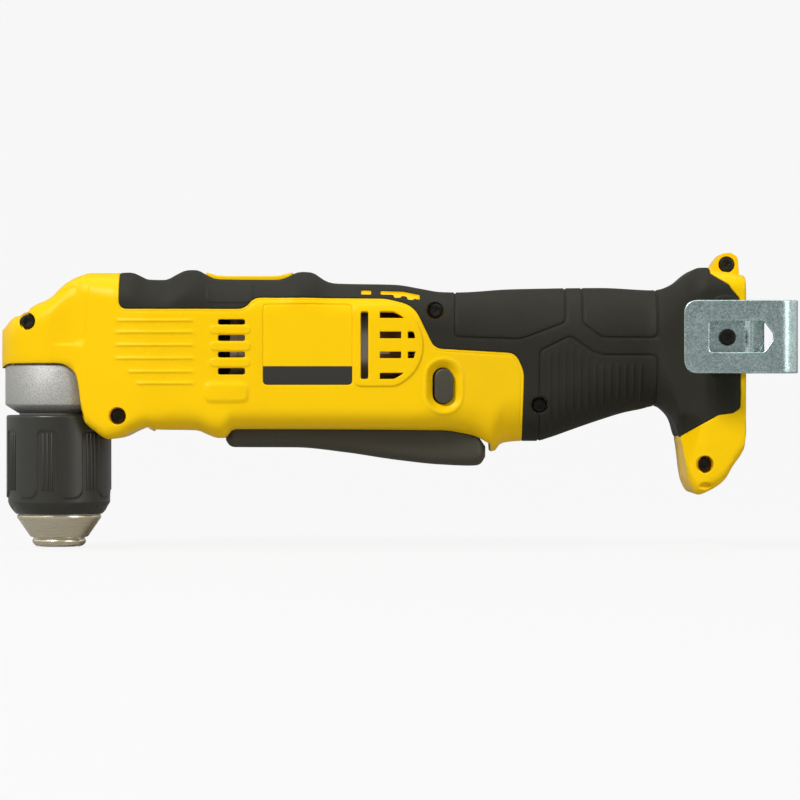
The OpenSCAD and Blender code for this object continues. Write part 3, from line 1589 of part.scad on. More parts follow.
nose_tip_r = 10.4;
nose_lip_h = 3.6;
nose_cone_r = 18.4;
sleeve_low = 14.2;
sleeve_bevel_h = 5.5;
sleeve_bevel_r = 18.9;
sleeve_wall = 2.6;
core_body_r = 16.6;
hub_r = 9;
back_plate_t = 2.4;
nut_low = 21;
nut_h = 8;
nut_t = 1.6;
jaw_tip_z = 1;
jaw_play = 0.15;
jaw_set_share = 0.7;
jaw_edge_r = socket_r + run_gap;
jaw_axis_r = jaw_edge_r + jaw_r * jaw_set_share;
mouth_chamfer = 0.8;
screw_seat_r = 4.75;
screw_seat_top = 37;
chuck_body_top = sleeve_top;
module jaw_line(i) {
    rotate([0, 0, 120 * i + 90]) translate([jaw_axis_r, 0, jaw_tip_z]) rotate([0, jaw_tilt, 0]) children();
}
module chuck_body() {
    color("#a39c8f")
    difference() {
        rotate_extrude($fn = 128) polygon([
            [0, 0], [nose_tip_r - mouth_chamfer, 0], [nose_tip_r, mouth_chamfer],
            [nose_tip_r + mouth_chamfer, nose_lip_h],
            [nose_tip_r + 2 * mouth_chamfer, nose_lip_h + mouth_chamfer / 2],
            [nose_cone_r, sleeve_low - move_gap],
            [core_body_r, sleeve_low - move_gap], [core_body_r, chuck_body_top - 3 * back_plate_t],
            [hub_r, chuck_body_top - 3 * back_plate_t], [hub_r, chuck_body_top], [0, chuck_body_top]
        ]);
        translate([0, 0, -over]) cylinder(h = socket_depth + over, r = socket_r, $fn = 96);
        translate([0, 0, socket_depth - over])
            cylinder(h = screw_seat_top - socket_depth + over, r = screw_seat_r, $fn = 96);
        translate([0, 0, screw_seat_top - over]) cylinder(h = chuck_body_top, r = thread_r, $fn = 96);
        for (i = [0 : 2]) jaw_line(i) translate([0, 0, -across / 2])
            cylinder(h = jaw_len + across / 2 + over, r = jaw_r + jaw_play, $fn = 64);
    }
}
module chuck_jaw(i) {
    color("#8f8a80")
    intersection() {
        jaw_line(i) cylinder(h = jaw_len, r = jaw_r, $fn = 64);
        rotate([0, 0, 120 * i + 90]) translate([jaw_edge_r, 0, -across])
            linear_extrude(2 * across)
                polygon([[0, 0], polar(across, -60), [across, 0], polar(across, 60)]);
    }
}
sleeve_bore_r = sleeve_r - sleeve_wall;
sleeve_flutes = 7;
flute_angle = -98.4;
flute_depth = 0.6;
flute_low = 21.5;
flute_high = 50.5;
flute_w = 9.4;
sleeve_rim_r = 1;
module chuck_sleeve() {
    color("#2c2d30")
    difference() {
        rotate_extrude($fn = 128) polygon([
            [core_body_r + move_gap, sleeve_low], [sleeve_bevel_r, sleeve_low],
            [sleeve_r, sleeve_low + sleeve_bevel_h], [sleeve_r, sleeve_top - sleeve_rim_r],
            [sleeve_r - sleeve_rim_r, sleeve_top],
            [hub_r + move_gap, sleeve_top], [hub_r + move_gap, sleeve_top - back_plate_t],
            [sleeve_bore_r, sleeve_top - back_plate_t], [sleeve_bore_r, sleeve_low + sleeve_bevel_h - over],
            [core_body_r + move_gap, sleeve_low + sleeve_bevel_h - over]
        ]);
        for (i = [0 : sleeve_flutes - 1]) rotate([0, 0, flute_angle + 360 * i / sleeve_flutes])
            sleeve_flute();
    }
}
// A shallow round-ended panel sunk in the sleeve's side
module sleeve_flute() {
    intersection() {
        difference() {
            translate([0, 0, flute_low])
                cylinder(h = flute_high - flute_low, r = sleeve_r + over, $fn = 96);
            cylinder(h = body_height, r = sleeve_r - flute_depth, $fn = 96);
        }
        translate([sleeve_bore_r, 0, 0]) rotate([90, 0, 90]) linear_extrude(across)
            translate([0, (flute_low + flute_high) / 2])
            obround(flute_w, flute_high - flute_low);
    }
}
module chuck_nut() {
    color("#85817a")
    translate([0, 0, nut_low]) difference() {
        cylinder(h = nut_h, r = sleeve_bore_r, $fn = 128);
        translate([0, 0, -over]) cylinder(h = nut_h + 2 * over, r = sleeve_bore_r - nut_t, $fn = 128);
    }
}
chuck_screw_head_h = 3.5;
module chuck_screw() {
    head_z = thread_low - chuck_screw_head_h;
    color("#5d5d5f")
    difference() {
        union() {
            translate([0, 0, head_z]) cylinder(h = chuck_screw_head_h, r = thread_r - run_gap, $fn = 64);
            translate([0, 0, thread_low - over / 2])
                cylinder(h = screw_hole_top - thread_low - over, r = screw_hole_r - run_gap, $fn = 48);
        }
        translate([0, 0, head_z - over])
            cylinder(h = chuck_screw_head_h / 2 + over, r = screw_drive_r, $fn = 6);
    }
}

housing(-1);  // housing_left
housing(1);  // housing_right
grip(-1);  // grip_left
grip(1);  // grip_right
label(-1);  // label_left
label(1);  // label_right
housing_screws();
gear_case();
gear_case_cover();
case_screws();
first_ring_gear();
sliding_ring_gear();
shift_bracket();
speed_selector();
motor_can();
motor_magnets();
brush_card();
brush_holders();
carbon_brushes();
motor_bearings();
motor_shaft();
motor_pinion();
motor_fan();
armature_core();
armature_windings();
commutator();
first_planet(0);  // first_planet_1
first_planet(1);  // first_planet_2
first_planet(2);  // first_planet_3
first_carrier();
second_planet(0);  // second_planet_1
second_planet(1);  // second_planet_2
second_planet(2);  // second_planet_3
second_carrier();
bevel_pinion();
pinion_bearing();
bevel_gear();
spindle();
spindle_bearings();
chuck_body();
chuck_sleeve();
chuck_nut();
chuck_jaw(0);  // chuck_jaw_1
chuck_jaw(1);  // chuck_jaw_2
chuck_jaw(2);  // chuck_jaw_3
chuck_screw();
paddle_trigger();
trigger_pin();
trigger_spring();
switch_body();
switch_plunger();
direction_button();
led_lens();
terminal_block();
terminal_blades();
battery_leads();
motor_leads();
belt_hook();
hook_screw();
hook_inserts();
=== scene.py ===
"""Looks of the right angle drill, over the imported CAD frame. Sizes are in millimetres."""

import math

import bmesh
import bpy
import numpy as np
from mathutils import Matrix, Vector
from mathutils.geometry import delaunay_2d_cdt


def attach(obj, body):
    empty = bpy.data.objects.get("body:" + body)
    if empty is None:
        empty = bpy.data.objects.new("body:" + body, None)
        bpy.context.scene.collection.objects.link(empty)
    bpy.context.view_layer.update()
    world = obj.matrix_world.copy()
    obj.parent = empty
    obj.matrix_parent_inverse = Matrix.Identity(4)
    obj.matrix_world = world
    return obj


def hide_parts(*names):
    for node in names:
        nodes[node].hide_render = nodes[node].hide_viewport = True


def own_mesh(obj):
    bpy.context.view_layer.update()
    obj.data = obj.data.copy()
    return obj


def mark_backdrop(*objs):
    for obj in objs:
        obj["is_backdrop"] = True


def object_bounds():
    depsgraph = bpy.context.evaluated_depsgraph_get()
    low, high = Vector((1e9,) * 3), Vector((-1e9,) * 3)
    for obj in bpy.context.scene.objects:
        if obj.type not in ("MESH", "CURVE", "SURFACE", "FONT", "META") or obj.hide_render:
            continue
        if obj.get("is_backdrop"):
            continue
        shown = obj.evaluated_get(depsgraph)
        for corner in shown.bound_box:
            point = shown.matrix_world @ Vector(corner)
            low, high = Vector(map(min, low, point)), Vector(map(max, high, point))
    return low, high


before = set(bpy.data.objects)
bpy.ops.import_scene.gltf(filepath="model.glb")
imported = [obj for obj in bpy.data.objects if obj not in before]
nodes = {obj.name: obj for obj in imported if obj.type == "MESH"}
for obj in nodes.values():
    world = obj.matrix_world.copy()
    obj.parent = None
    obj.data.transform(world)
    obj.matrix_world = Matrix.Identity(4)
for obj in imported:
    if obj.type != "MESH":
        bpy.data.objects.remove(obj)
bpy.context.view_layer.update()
MM = 0.001

# Materials


def add_node(tree, kind, settings=None, values=None):
    """A node of a kind, with its settings and then the values or links of its sockets."""
    made = tree.nodes.new(kind)
    for name, value in (settings or {}).items():
        setattr(made, name, value)
    for socket, value in (values or {}).items():
        if isinstance(value, Val):
            value = value.socket
        if isinstance(value, bpy.types.NodeSocket):
            tree.links.new(value, made.inputs[socket])
        else:
            made.inputs[socket].default_value = value
    return made


class Val:
    """A shader value; arithmetic on it adds Math nodes to its tree."""

    def __init__(self, tree, socket):
        self.tree = tree
        self.socket = socket

    def math(self, operation, *values, clamp=False):
        settings = {"operation": operation, "use_clamp": clamp}
        made = add_node(self.tree, "ShaderNodeMath", settings, dict(enumerate(values)))
        return Val(self.tree, made.outputs[0])

    def __add__(self, other):
        return self.math("ADD", self, other)

    __radd__ = __add__

    def __sub__(self, other):
        return self.math("SUBTRACT", self, other)

    def __rsub__(self, other):
        return self.math("SUBTRACT", other, self)

    def __mul__(self, other):
        return self.math("MULTIPLY", self, other)

    __rmul__ = __mul__

    def __truediv__(self, other):
        return self.math("DIVIDE", self, other)

    def __rtruediv__(self, other):
        return self.math("DIVIDE", other, self)

    def over(self, low, high):
        """0 below low, 1 above high, straight between."""
        return self.math("MULTIPLY", self - low, 1 / (high - low), clamp=True)


class Look:
    """A material with a Principled surface and the helpers to vary it.

    mottle is the size and spread of patches of roughness, and grain the size, detail and depth of a
    bump, all in millimetres but the spread and the detail.
    """

    def __init__(self, name, color, rough, metal=0.0, mottle=None, grain=None, **sockets):
        self.mat = bpy.data.materials.new(name)
        self.mat.use_nodes = True
        self.tree = self.mat.node_tree
        self.surface = self.tree.nodes["Principled BSDF"]
        self.surface.inputs["Base Color"].default_value = (*color, 1)
        self.surface.inputs["Roughness"].default_value = rough
        self.surface.inputs["Metallic"].default_value = metal
        for socket, value in sockets.items():
            title = socket.replace("_", " ").title().replace("Ior", "IOR")
            self.surface.inputs[title].default_value = value
        self.mat.diffuse_color = (*color, 1)
        self.place = Val(self.tree, self.node("TexCoord").outputs["Object"])
        if mottle:
            size, spread = mottle
            self.vary("Roughness", rough + spread * (self.noise(size, 3) - 0.5))
        if grain:
            size, detail, depth = grain
            self.bump(self.noise(size, detail), depth)

    def node(self, kind, settings=None, values=None):
        return add_node(self.tree, "ShaderNode" + kind, settings, values)

    def axis(self, letter):
        """Place along an axis in millimetres."""
        return Val(self.tree, self.node("SeparateXYZ", {}, {0: self.place}).outputs[letter]) * (1 / MM)

    def noise(self, size, detail=2.0, stretch=None):
        """Noise whose grains measure about size millimetres."""
        place = self.place
        if stretch:
            scaled = self.node("VectorMath", {"operation": "MULTIPLY"}, {0: place, 1: stretch})
            place = Val(self.tree, scaled.outputs[0])
        values = {"Vector": place, "Scale": 1 / (size * MM), "Detail": detail}
        return Val(self.tree, self.node("TexNoise", {}, values).outputs[0])

    def cells(self, size):
        """A random level for each cell about size millimetres wide."""
        cells = self.node("TexVoronoi", {}, {"Vector": self.place, "Scale": 1 / (size * MM)})
        level = self.node("SeparateColor", {}, {0: Val(self.tree, cells.outputs["Color"])})
        return Val(self.tree, level.outputs[0])

    def tint(self, factor, low, high):
        """Base colour from low to high by a value."""
        mix = self.node("Mix", {"data_type": "RGBA"}, {0: factor, 6: (*low, 1), 7: (*high, 1)})
        self.tree.links.new(mix.outputs[2], self.surface.inputs["Base Color"])
        return self

    def vary(self, socket, value):
        self.tree.links.new(value.socket, self.surface.inputs[socket])
        return self

    def bump(self, height, depth):
        made = self.node("Bump", {}, {"Strength": 1, "Distance": depth * MM, "Height": height})
        self.tree.links.new(made.outputs[0], self.surface.inputs["Normal"])
        return self


YELLOW = (0.99, 0.61, 0.001)
yellow = Look(
    "yellow_nylon", YELLOW, 0.36, mottle=(14, 0.1), grain=(0.4, 3, 0.022), specular_ior_level=0.12
)
yellow.tint(yellow.noise(35, 3), (0.96, 0.575, 0.001), (1.0, 0.635, 0.001))
rubber = Look(
    "overmould_rubber", (0.0215, 0.0205, 0.0145), 0.6, mottle=(9, 0.14), grain=(0.4, 3, 0.03),
    specular_ior_level=0.14,
)
rubber.tint(rubber.noise(22, 4), (0.018, 0.0172, 0.012), (0.028, 0.0265, 0.019))
paddle_look = Look(
    "paddle_plastic", (0.05, 0.046, 0.03), 0.46, mottle=(10, 0.12), grain=(0.5, 3, 0.025),
    specular_ior_level=0.4,
)
sleeve_look = Look(
    "sleeve_plastic", (0.021, 0.0205, 0.0145), 0.34, mottle=(6, 0.12), grain=(0.35, 3, 0.02),
    specular_ior_level=0.5,
)
black = Look(
    "black_plastic", (0.012, 0.012, 0.012), 0.5, mottle=(5, 0.14), grain=(0.5, 2, 0.015),
    specular_ior_level=0.4,
)
LABEL_BAND_TOP, LABEL_BAND = 78.3, (0.04, 0.038, 0.033)
label_look = Look(
    "label_film", YELLOW, 0.3, mottle=(8, 0.08), grain=(1.2, 3, 0.01), specular_ior_level=0.15
)
above_band = label_look.axis("Z").over(LABEL_BAND_TOP - 0.05, LABEL_BAND_TOP + 0.05)
label_look.tint(above_band, LABEL_BAND, YELLOW)
cast = Look("cast_aluminium", (0.66, 0.66, 0.63), 0.58, 0.7, grain=(0.5, 3, 0.1))
cast.tint(cast.noise(0.5, 4).over(0.3, 0.7), (0.29, 0.29, 0.27), (0.5, 0.495, 0.47))
TURNED = (0.02, 0.02, 1.0)
nickel = Look("turned_nickel", (0.66, 0.6, 0.46), 0.27, 1.0)
nickel.vary("Roughness", 0.17 + 0.24 * nickel.noise(0.4, 3, TURNED))
nickel.bump(nickel.noise(0.25, 2, TURNED), 0.012)
bright = Look("bright_steel", (0.7, 0.68, 0.63), 0.2, 1.0, mottle=(1.5, 0.12))
zinc = Look("zinc_plate", (0.5, 0.57, 0.56), 0.3, 1.0, grain=(0.7, 3, 0.02))
spangle = zinc.cells(0.6) * 0.5 + zinc.noise(6, 4) * 0.5
zinc.tint(spangle, (0.235, 0.335, 0.33), (0.68, 0.82, 0.8))
zinc.vary("Roughness", 0.2 + 0.16 * zinc.cells(0.5))
screw_look = Look(
    "blackened_screw", (0.025, 0.023, 0.02), 0.38, 0.75, mottle=(0.8, 0.2), grain=(0.3, 2, 0.015)
)
steel = Look("gear_steel", (0.5, 0.5, 0.49), 0.32, 1.0, mottle=(2, 0.16))
bearing = Look("bearing_steel", (0.6, 0.6, 0.6), 0.2, 1.0, mottle=(1.2, 0.1))
can_look = Look("plated_can", (0.68, 0.68, 0.66), 0.42, 0.6, mottle=(6, 0.18))
phenolic = Look("brown_phenolic", (0.3, 0.15, 0.06), 0.5, mottle=(2, 0.16))
phenolic.tint(phenolic.noise(1.5, 4), (0.24, 0.115, 0.045), (0.36, 0.18, 0.075))
magnet = Look("ferrite", (0.05, 0.05, 0.052), 0.6, mottle=(1, 0.2))
carbon = Look("carbon", (0.03, 0.03, 0.03), 0.55, mottle=(0.6, 0.25))
brass = Look("brass", (0.7, 0.5, 0.17), 0.3, 1.0, mottle=(2, 0.16))
tinned = Look("tinned_brass", (0.78, 0.75, 0.67), 0.5, 0.3, mottle=(2, 0.16))
copper = Look("enamelled_copper", (0.75, 0.3, 0.14), 0.3, 1.0, mottle=(1, 0.16))
lens = Look("clear_lens", (0.92, 0.95, 0.97), 0.07, mottle=(3, 0.04), transmission_weight=0.85)
red = Look("red_insulation", (0.45, 0.02, 0.015), 0.45, mottle=(4, 0.12))
dark_lead = Look("black_insulation", (0.02, 0.02, 0.02), 0.45, mottle=(4, 0.12))

# Mesh helpers


def plain_mesh(name, points, faces):
    """A mesh from points in millimetres."""
    mesh = bpy.data.meshes.new(name)
    mesh.from_pydata([tuple(p) for p in np.asarray(points, float) * MM], [], faces)
    mesh.validate()
    return mesh


def joined(name, *meshes):
    """One mesh from several, which are removed."""
    bm = bmesh.new()
    for mesh in meshes:
        bm.from_mesh(mesh)
        bpy.data.meshes.remove(mesh)
    whole = bpy.data.meshes.new(name)
    bm.to_mesh(whole)
    bm.free()
    return whole


def smooth_mesh(mesh, angle):
    """Smooth shading, broken at edges sharper than an angle in degrees."""
    mesh.polygons.foreach_set("use_smooth", np.ones(len(mesh.polygons), dtype=bool))
    mesh.set_sharp_from_angle(angle=math.radians(angle))
    mesh.update()


def piece(name, points, faces, look, body, slot, replaced=(), angle=40):
    """A finished object from points in millimetres and faces."""
    return finished(name, plain_mesh(name, points, faces), look, body, replaced, angle)


def finished(name, mesh, look, body, replaced=(), angle=40):
    """A mesh, with its faces turned outwards, as an object that rides a body of the frame."""
    bm = bmesh.new()
    bm.from_mesh(mesh)
    bmesh.ops.recalc_face_normals(bm, faces=bm.faces)
    bm.to_mesh(mesh)
    bm.free()
    smooth_mesh(mesh, angle)
    obj = bpy.data.objects.new(name, mesh)
    bpy.context.scene.collection.objects.link(obj)
    mesh.materials.clear()
    mesh.materials.append(look.mat)
    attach(obj, body)
    if replaced:
        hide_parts(*replaced)
    return obj


class Parts:
    """Collects meshes into one list of points and faces."""

    def __init__(self):
        self.points = []
        self.faces = []

    def add(self, points, faces):
        start = len(self.points)
        self.points.extend([tuple(p) for p in points])
        self.faces.extend([tuple(start + i for i in f) for f in faces])
        return self


SHARP, FLAT, TOUCH = math.radians(35), math.radians(1), 1e-4


def beveled(points, faces, width, segments=3):
    """The mesh with its sharp edges rounded."""
    mesh = bpy.data.meshes.new("rounded")
    mesh.from_pydata([tuple(p) for p in points], [], faces)
    mesh.validate()
    bm = bmesh.new()
    bm.from_mesh(mesh)
    bmesh.ops.remove_doubles(bm, verts=bm.verts, dist=TOUCH)
    bmesh.ops.recalc_face_normals(bm, faces=bm.faces)
    bmesh.ops.dissolve_limit(bm, angle_limit=FLAT, verts=bm.verts, edges=bm.edges)
    edges = [e for e in bm.edges if len(e.link_faces) == 2 and e.calc_face_angle() > SHARP]
    bmesh.ops.bevel(
        bm, geom=edges, offset=width, segments=segments, profile=0.5, affect="EDGES", clamp_overlap=True
    )
    bmesh.ops.triangulate(bm, faces=[f for f in bm.faces if len(f.verts) > 4])
    points = [tuple(v.co) for v in bm.verts]
    bm.verts.index_update()
    faces = [tuple(v.index for v in f.verts) for f in bm.faces]
    bm.free()
    bpy.data.meshes.remove(mesh)
    return points, faces


def boxed(low, high, round_r, segments=3):
    """A block between two corners with rounded edges."""
    x, y, z = zip(low, high)
    points = [(x[i], y[j], z[k]) for i in (0, 1) for j in (0, 1) for k in (0, 1)]
    faces = [(0, 1, 3, 2), (4, 6, 7, 5), (0, 4, 5, 1), (2, 3, 7, 6), (0, 2, 6, 4), (1, 5, 7, 3)]
    return beveled(points, faces, round_r, segments)


def triangles(points, loops):
    """Delaunay triangles of 2-D points with closed loops of point numbers kept as edges."""
    edges = [(a, b) for loop in loops for a, b in zip(loop, loop[1:] + loop[:1])]
    out = delaunay_2d_cdt([Vector(p) for p in points], edges, [], 0, 1e-5)
    return np.array([tuple(p) for p in out[0]]), [tuple(f) for f in out[2]]


def inside(points, polygon):
    """Which of the points lie inside a polygon."""
    points = np.asarray(points, float)
    polygon = np.asarray(polygon, float)
    x, y = points[:, 0], points[:, 1]
    result = np.zeros(len(points), bool)
    for (x0, y0), (x1, y1) in zip(polygon, np.roll(polygon, -1, axis=0)):
        if y0 == y1:
            continue
        crosses = (y0 > y) != (y1 > y)
        result ^= crosses & (x < (x1 - x0) * (y - y0) / (y1 - y0) + x0)
    return result


def line_distance(points, line):
    """Distance of each point from a chain of straight runs."""
    points = np.asarray(points, float)
    start, run = line[:-1], np.diff(line, axis=0)
    square = np.maximum((run**2).sum(1), 1e-12)
    best = np.full(len(points), 1e9)
    for s, r, q in zip(start, run, square):
        t = np.clip(((points - s) @ r) / q, 0, 1)
        best = np.minimum(best, np.hypot(*(points - s - t[:, None] * r).T))
    return best


def even(line, step):
    """The chain with points about step apart, its own corners left out where they fall between."""
    line = np.asarray(line, float)
    lengths = np.hypot(*np.diff(line, axis=0).T)
    along = np.concatenate([[0], np.cumsum(lengths)])
    count = max(2, int(round(along[-1] / step)) + 1)
    s = np.linspace(0, along[-1], count)
    return np.column_stack([np.interp(s, along, line[:, k]) for k in range(line.shape[1])])


def rounded(points, radius, closed=True, steps=6):
    """An outline with its corners rounded."""
    points = [np.asarray(p, float) for p in points]
    count = len(points)
    out = []
    for i, p in enumerate(points):
        r = radius[i] if isinstance(radius, (list, tuple)) else radius
        if not closed and i in (0, count - 1) or r <= 0:
            out.append(p)
            continue
        before, after = points[i - 1] - p, points[(i + 1) % count] - p
        la, lb = np.hypot(*before), np.hypot(*after)
        before, after = before / la, after / lb
        angle = math.acos(np.clip(before @ after, -1, 1))
        reach = min(r / math.tan(angle / 2), 0.49 * la, 0.49 * lb)
        for t in np.linspace(0, 1, steps + 1):
            out.append(p + before * reach * (1 - t) ** 2 + after * reach * t**2)
    return np.array(out)


def ring(cx, cz, r, count=32, squeeze=1.0):
    """A circle, or an ellipse squeezed in its height."""
    a = np.arange(count) * 2 * math.pi / count
    return np.column_stack([cx + r * np.cos(a), cz + squeeze * r * np.sin(a)])


def closed(outline):
    """The outline with its first point again at its end."""
    return np.vstack([outline, outline[:1]])


def looped(outline, step):
    """The closed outline with points about step apart."""
    return even(closed(outline), step)[:-1]


def plate(loops, more=()):
    """Points and triangles of the area inside the first loop and outside the others."""
    points, numbers = [], []
    for loop in loops:
        numbers.append(list(range(len(points), len(points) + len(loop))))
        points.extend([tuple(p) for p in loop])
    flat, tris = triangles([*points, *more], numbers)
    middle = np.array([flat[list(f)].mean(0) for f in tris])
    keep = inside(middle, loops[0])
    for hole in loops[1:]:
        keep &= ~inside(middle, hole)
    return flat, [f for f, k in zip(tris, keep) if k]


def thick(tris, count):
    """Faces of a sheet whose points come twice, front and back, and the edges of its rim."""
    directed = dict.fromkeys((a, b) for f in tris for a, b in zip(f, f[1:] + f[:1]))
    rim = [(a, b) for a, b in directed if (b, a) not in directed]
    back = [tuple(count + i for i in reversed(f)) for f in tris]
    return [*tris, *back, *((b, a, a + count, b + count) for a, b in rim)], rim


def prism(outline, holes, low, high, round_r, axis="Y"):
    """A plate of an outline with holes, from low to high along an axis, with rounded edges."""
    flat, tris = plate([outline, *holes])
    faces, _ = thick(tris, len(flat))
    both = []
    for level in (low, high):
        for u, v in flat:
            both.append({"X": (level, u, v), "Y": (u, level, v), "Z": (u, v, level)}[axis])
    return beveled(both, faces, round_r) if round_r else (both, faces)


def loft(rings, is_ring=False):
    """Points and faces through rings of equally many points, closed in a ring or capped."""
    rows, count = len(rings), len(rings[0])
    faces = []
    for i in range(rows if is_ring else rows - 1):
        n = (i + 1) % rows
        for k in range(count):
            m = (k + 1) % count
            faces.append((n * count + k, n * count + m, i * count + m, i * count + k))
    if not is_ring:
        faces.append(tuple(range(count)))
        faces.append(tuple((rows - 1) * count + k for k in reversed(range(count))))
    return np.vstack(rings), faces


def lathe(profile, count, turn=None):
    """A ring about Z from a closed chain of (radius, height) points; turn gives a radius change."""
    a = np.arange(count) * 2 * math.pi / count
    rings = []
    for r, z in profile:
        radius = r + (turn(a, z) if turn else 0 * a)
        rings.append(np.column_stack([radius * np.cos(a), radius * np.sin(a), np.full(count, z)]))
    return loft(rings, is_ring=True)


def spread_tree(name, sockets, shape):
    """Node tree that puts what shape makes on each point, turned by the point's own angles."""
    tree = bpy.data.node_groups.new(name, "GeometryNodeTree")

    def socket(name, kind, way="INPUT"):
        made = tree.interface.new_socket(name=name, in_out=way, socket_type=f"NodeSocket{kind}")
        return made.identifier

    socket("Places", "Geometry")
    known = {name: socket(name, kind) for name, kind in sockets.items()}
    socket("Spread", "Geometry", "OUTPUT")
    source = add_node(tree, "NodeGroupInput")
    turn = add_node(
        tree, "GeometryNodeInputNamedAttribute", {"data_type": "FLOAT_VECTOR"}, {"Name": "turn"}
    )
    angles = add_node(tree, "FunctionNodeEulerToRotation", {}, {0: turn.outputs[0]})
    spread = add_node(tree, "GeometryNodeInstanceOnPoints", {}, {
        "Points": source.outputs["Places"], "Instance": shape(tree, source),
        "Rotation": angles.outputs[0],
    })
    real = add_node(tree, "GeometryNodeRealizeInstances", {}, {0: spread.outputs[0]})
    paint = add_node(tree, "GeometryNodeSetMaterial", {}, {
        "Geometry": real.outputs[0], "Material": source.outputs["Look"],
    })
    add_node(tree, "NodeGroupOutput", {}, {"Spread": paint.outputs[0]})
    return tree, known


def part_shape(tree, source):
    """The shape of another object."""
    part = add_node(tree, "GeometryNodeObjectInfo", {}, {"Object": source.outputs["Part"]})
    return part.outputs["Geometry"]


def rib_shape(tree, source):
    """A round-ended rib along Z, drawn out from a ball."""
    length, width, height = (Val(tree, source.outputs[n]) for n in ("Length", "Width", "Height"))
    ball = add_node(tree, "GeometryNodeMeshUVSphere", {}, {"Segments": 20, "Rings": 10, "Radius": 1})
    place = add_node(tree, "GeometryNodeInputPosition")
    parted = add_node(tree, "ShaderNodeSeparateXYZ", {}, {0: place.outputs[0]})
    x, y, z = (Val(tree, s) for s in parted.outputs)
    end = 0.5 * (length - width) * z.math("SIGN", z)
    drawn_out = add_node(tree, "ShaderNodeCombineXYZ", {}, {
        0: x * height, 1: y * width * 0.5, 2: z * width * 0.5 + end,
    })
    return add_node(tree, "GeometryNodeSetPosition", {}, {
        "Geometry": ball.outputs["Mesh"], "Position": drawn_out.outputs[0],
    }).outputs[0]


def coil_shape(tree, source):
    """A wire wound up along Z."""
    turns, radius, height, wire = (source.outputs[n] for n in ("Turns", "Radius", "Height", "Wire"))
    spiral = add_node(tree, "GeometryNodeCurveSpiral", {}, {
        "Resolution": 24, "Rotations": turns, "Start Radius": radius, "End Radius": radius,
        "Height": height,
    })
    round_wire = add_node(tree, "GeometryNodeCurvePrimitiveCircle", {}, {
        "Resolution": 10, "Radius": wire,
    })
    return add_node(tree, "GeometryNodeCurveToMesh", {}, {
        "Curve": spiral.outputs[0], "Profile Curve": round_wire.outputs[0], "Fill Caps": True,
    }).outputs[0]


def sized(*names):
    """Sockets for sizes and a look."""
    return {**{name: "Float" for name in names}, "Look": "Material"}


COIL_TREE = spread_tree("coil", sized("Turns", "Radius", "Height", "Wire"), coil_shape)
PART_TREE = spread_tree("repeat_part", {"Part": "Object", **sized()}, part_shape)
RIB_TREE = spread_tree("repeat_rib", sized("Length", "Width", "Height"), rib_shape)


def spread(tree_and_names, places, turns, **values):
    """A plain mesh of what a tree puts at the places, given in millimetres."""
    tree, names = tree_and_names
    spots = plain_mesh("spots", places, [])
    angles = spots.attributes.new("turn", "FLOAT_VECTOR", "POINT")
    angles.data.foreach_set("vector", np.ravel(turns).astype(float))
    carrier = bpy.data.objects.new("carrier", spots)
    bpy.context.scene.collection.objects.link(carrier)
    modifier = carrier.modifiers.new("spread", "NODES")
    modifier.node_group = tree
    for name, value in values.items():
        modifier[names[name]] = value
    graph = bpy.context.evaluated_depsgraph_get()
    mesh = bpy.data.meshes.new_from_object(carrier.evaluated_get(graph))
    carrier.modifiers.remove(modifier)
    bpy.data.objects.remove(carrier)
    return mesh


def ribs(length, width, height, places, turns, look):
    """A plain mesh of ribs at many places."""
    sizes = {"Length": length * MM, "Width": width * MM, "Height": height * MM}
    return spread(RIB_TREE, places, turns, Look=look.mat, **sizes)


def repeated(points, faces, places, turns, look):
    """A plain mesh of one part at many places."""
    part = bpy.data.objects.new("part", plain_mesh("part", points, faces))
    bpy.context.scene.collection.objects.link(part)
    mesh = spread(PART_TREE, places, turns, Part=part, Look=look.mat)
    bpy.data.objects.remove(part)
    return mesh


# The body's surface

LENGTH, HEIGHT, NOSE_R, TIP_R = 322.0, 128.0, 25.1, 24.78
HALF_W, HANDLE_W, FOOT_W = 31.5, 21.0, 33.5
# Height of the pad under the hook, whose face lies as far out as the foot is wide
PAD = 0.5
REAR = LENGTH - NOSE_R


def at(*shares):
    """Place and height from shares of the body's length and height."""
    return np.array([(s * LENGTH - NOSE_R, h * HEIGHT) for s, h in shares])


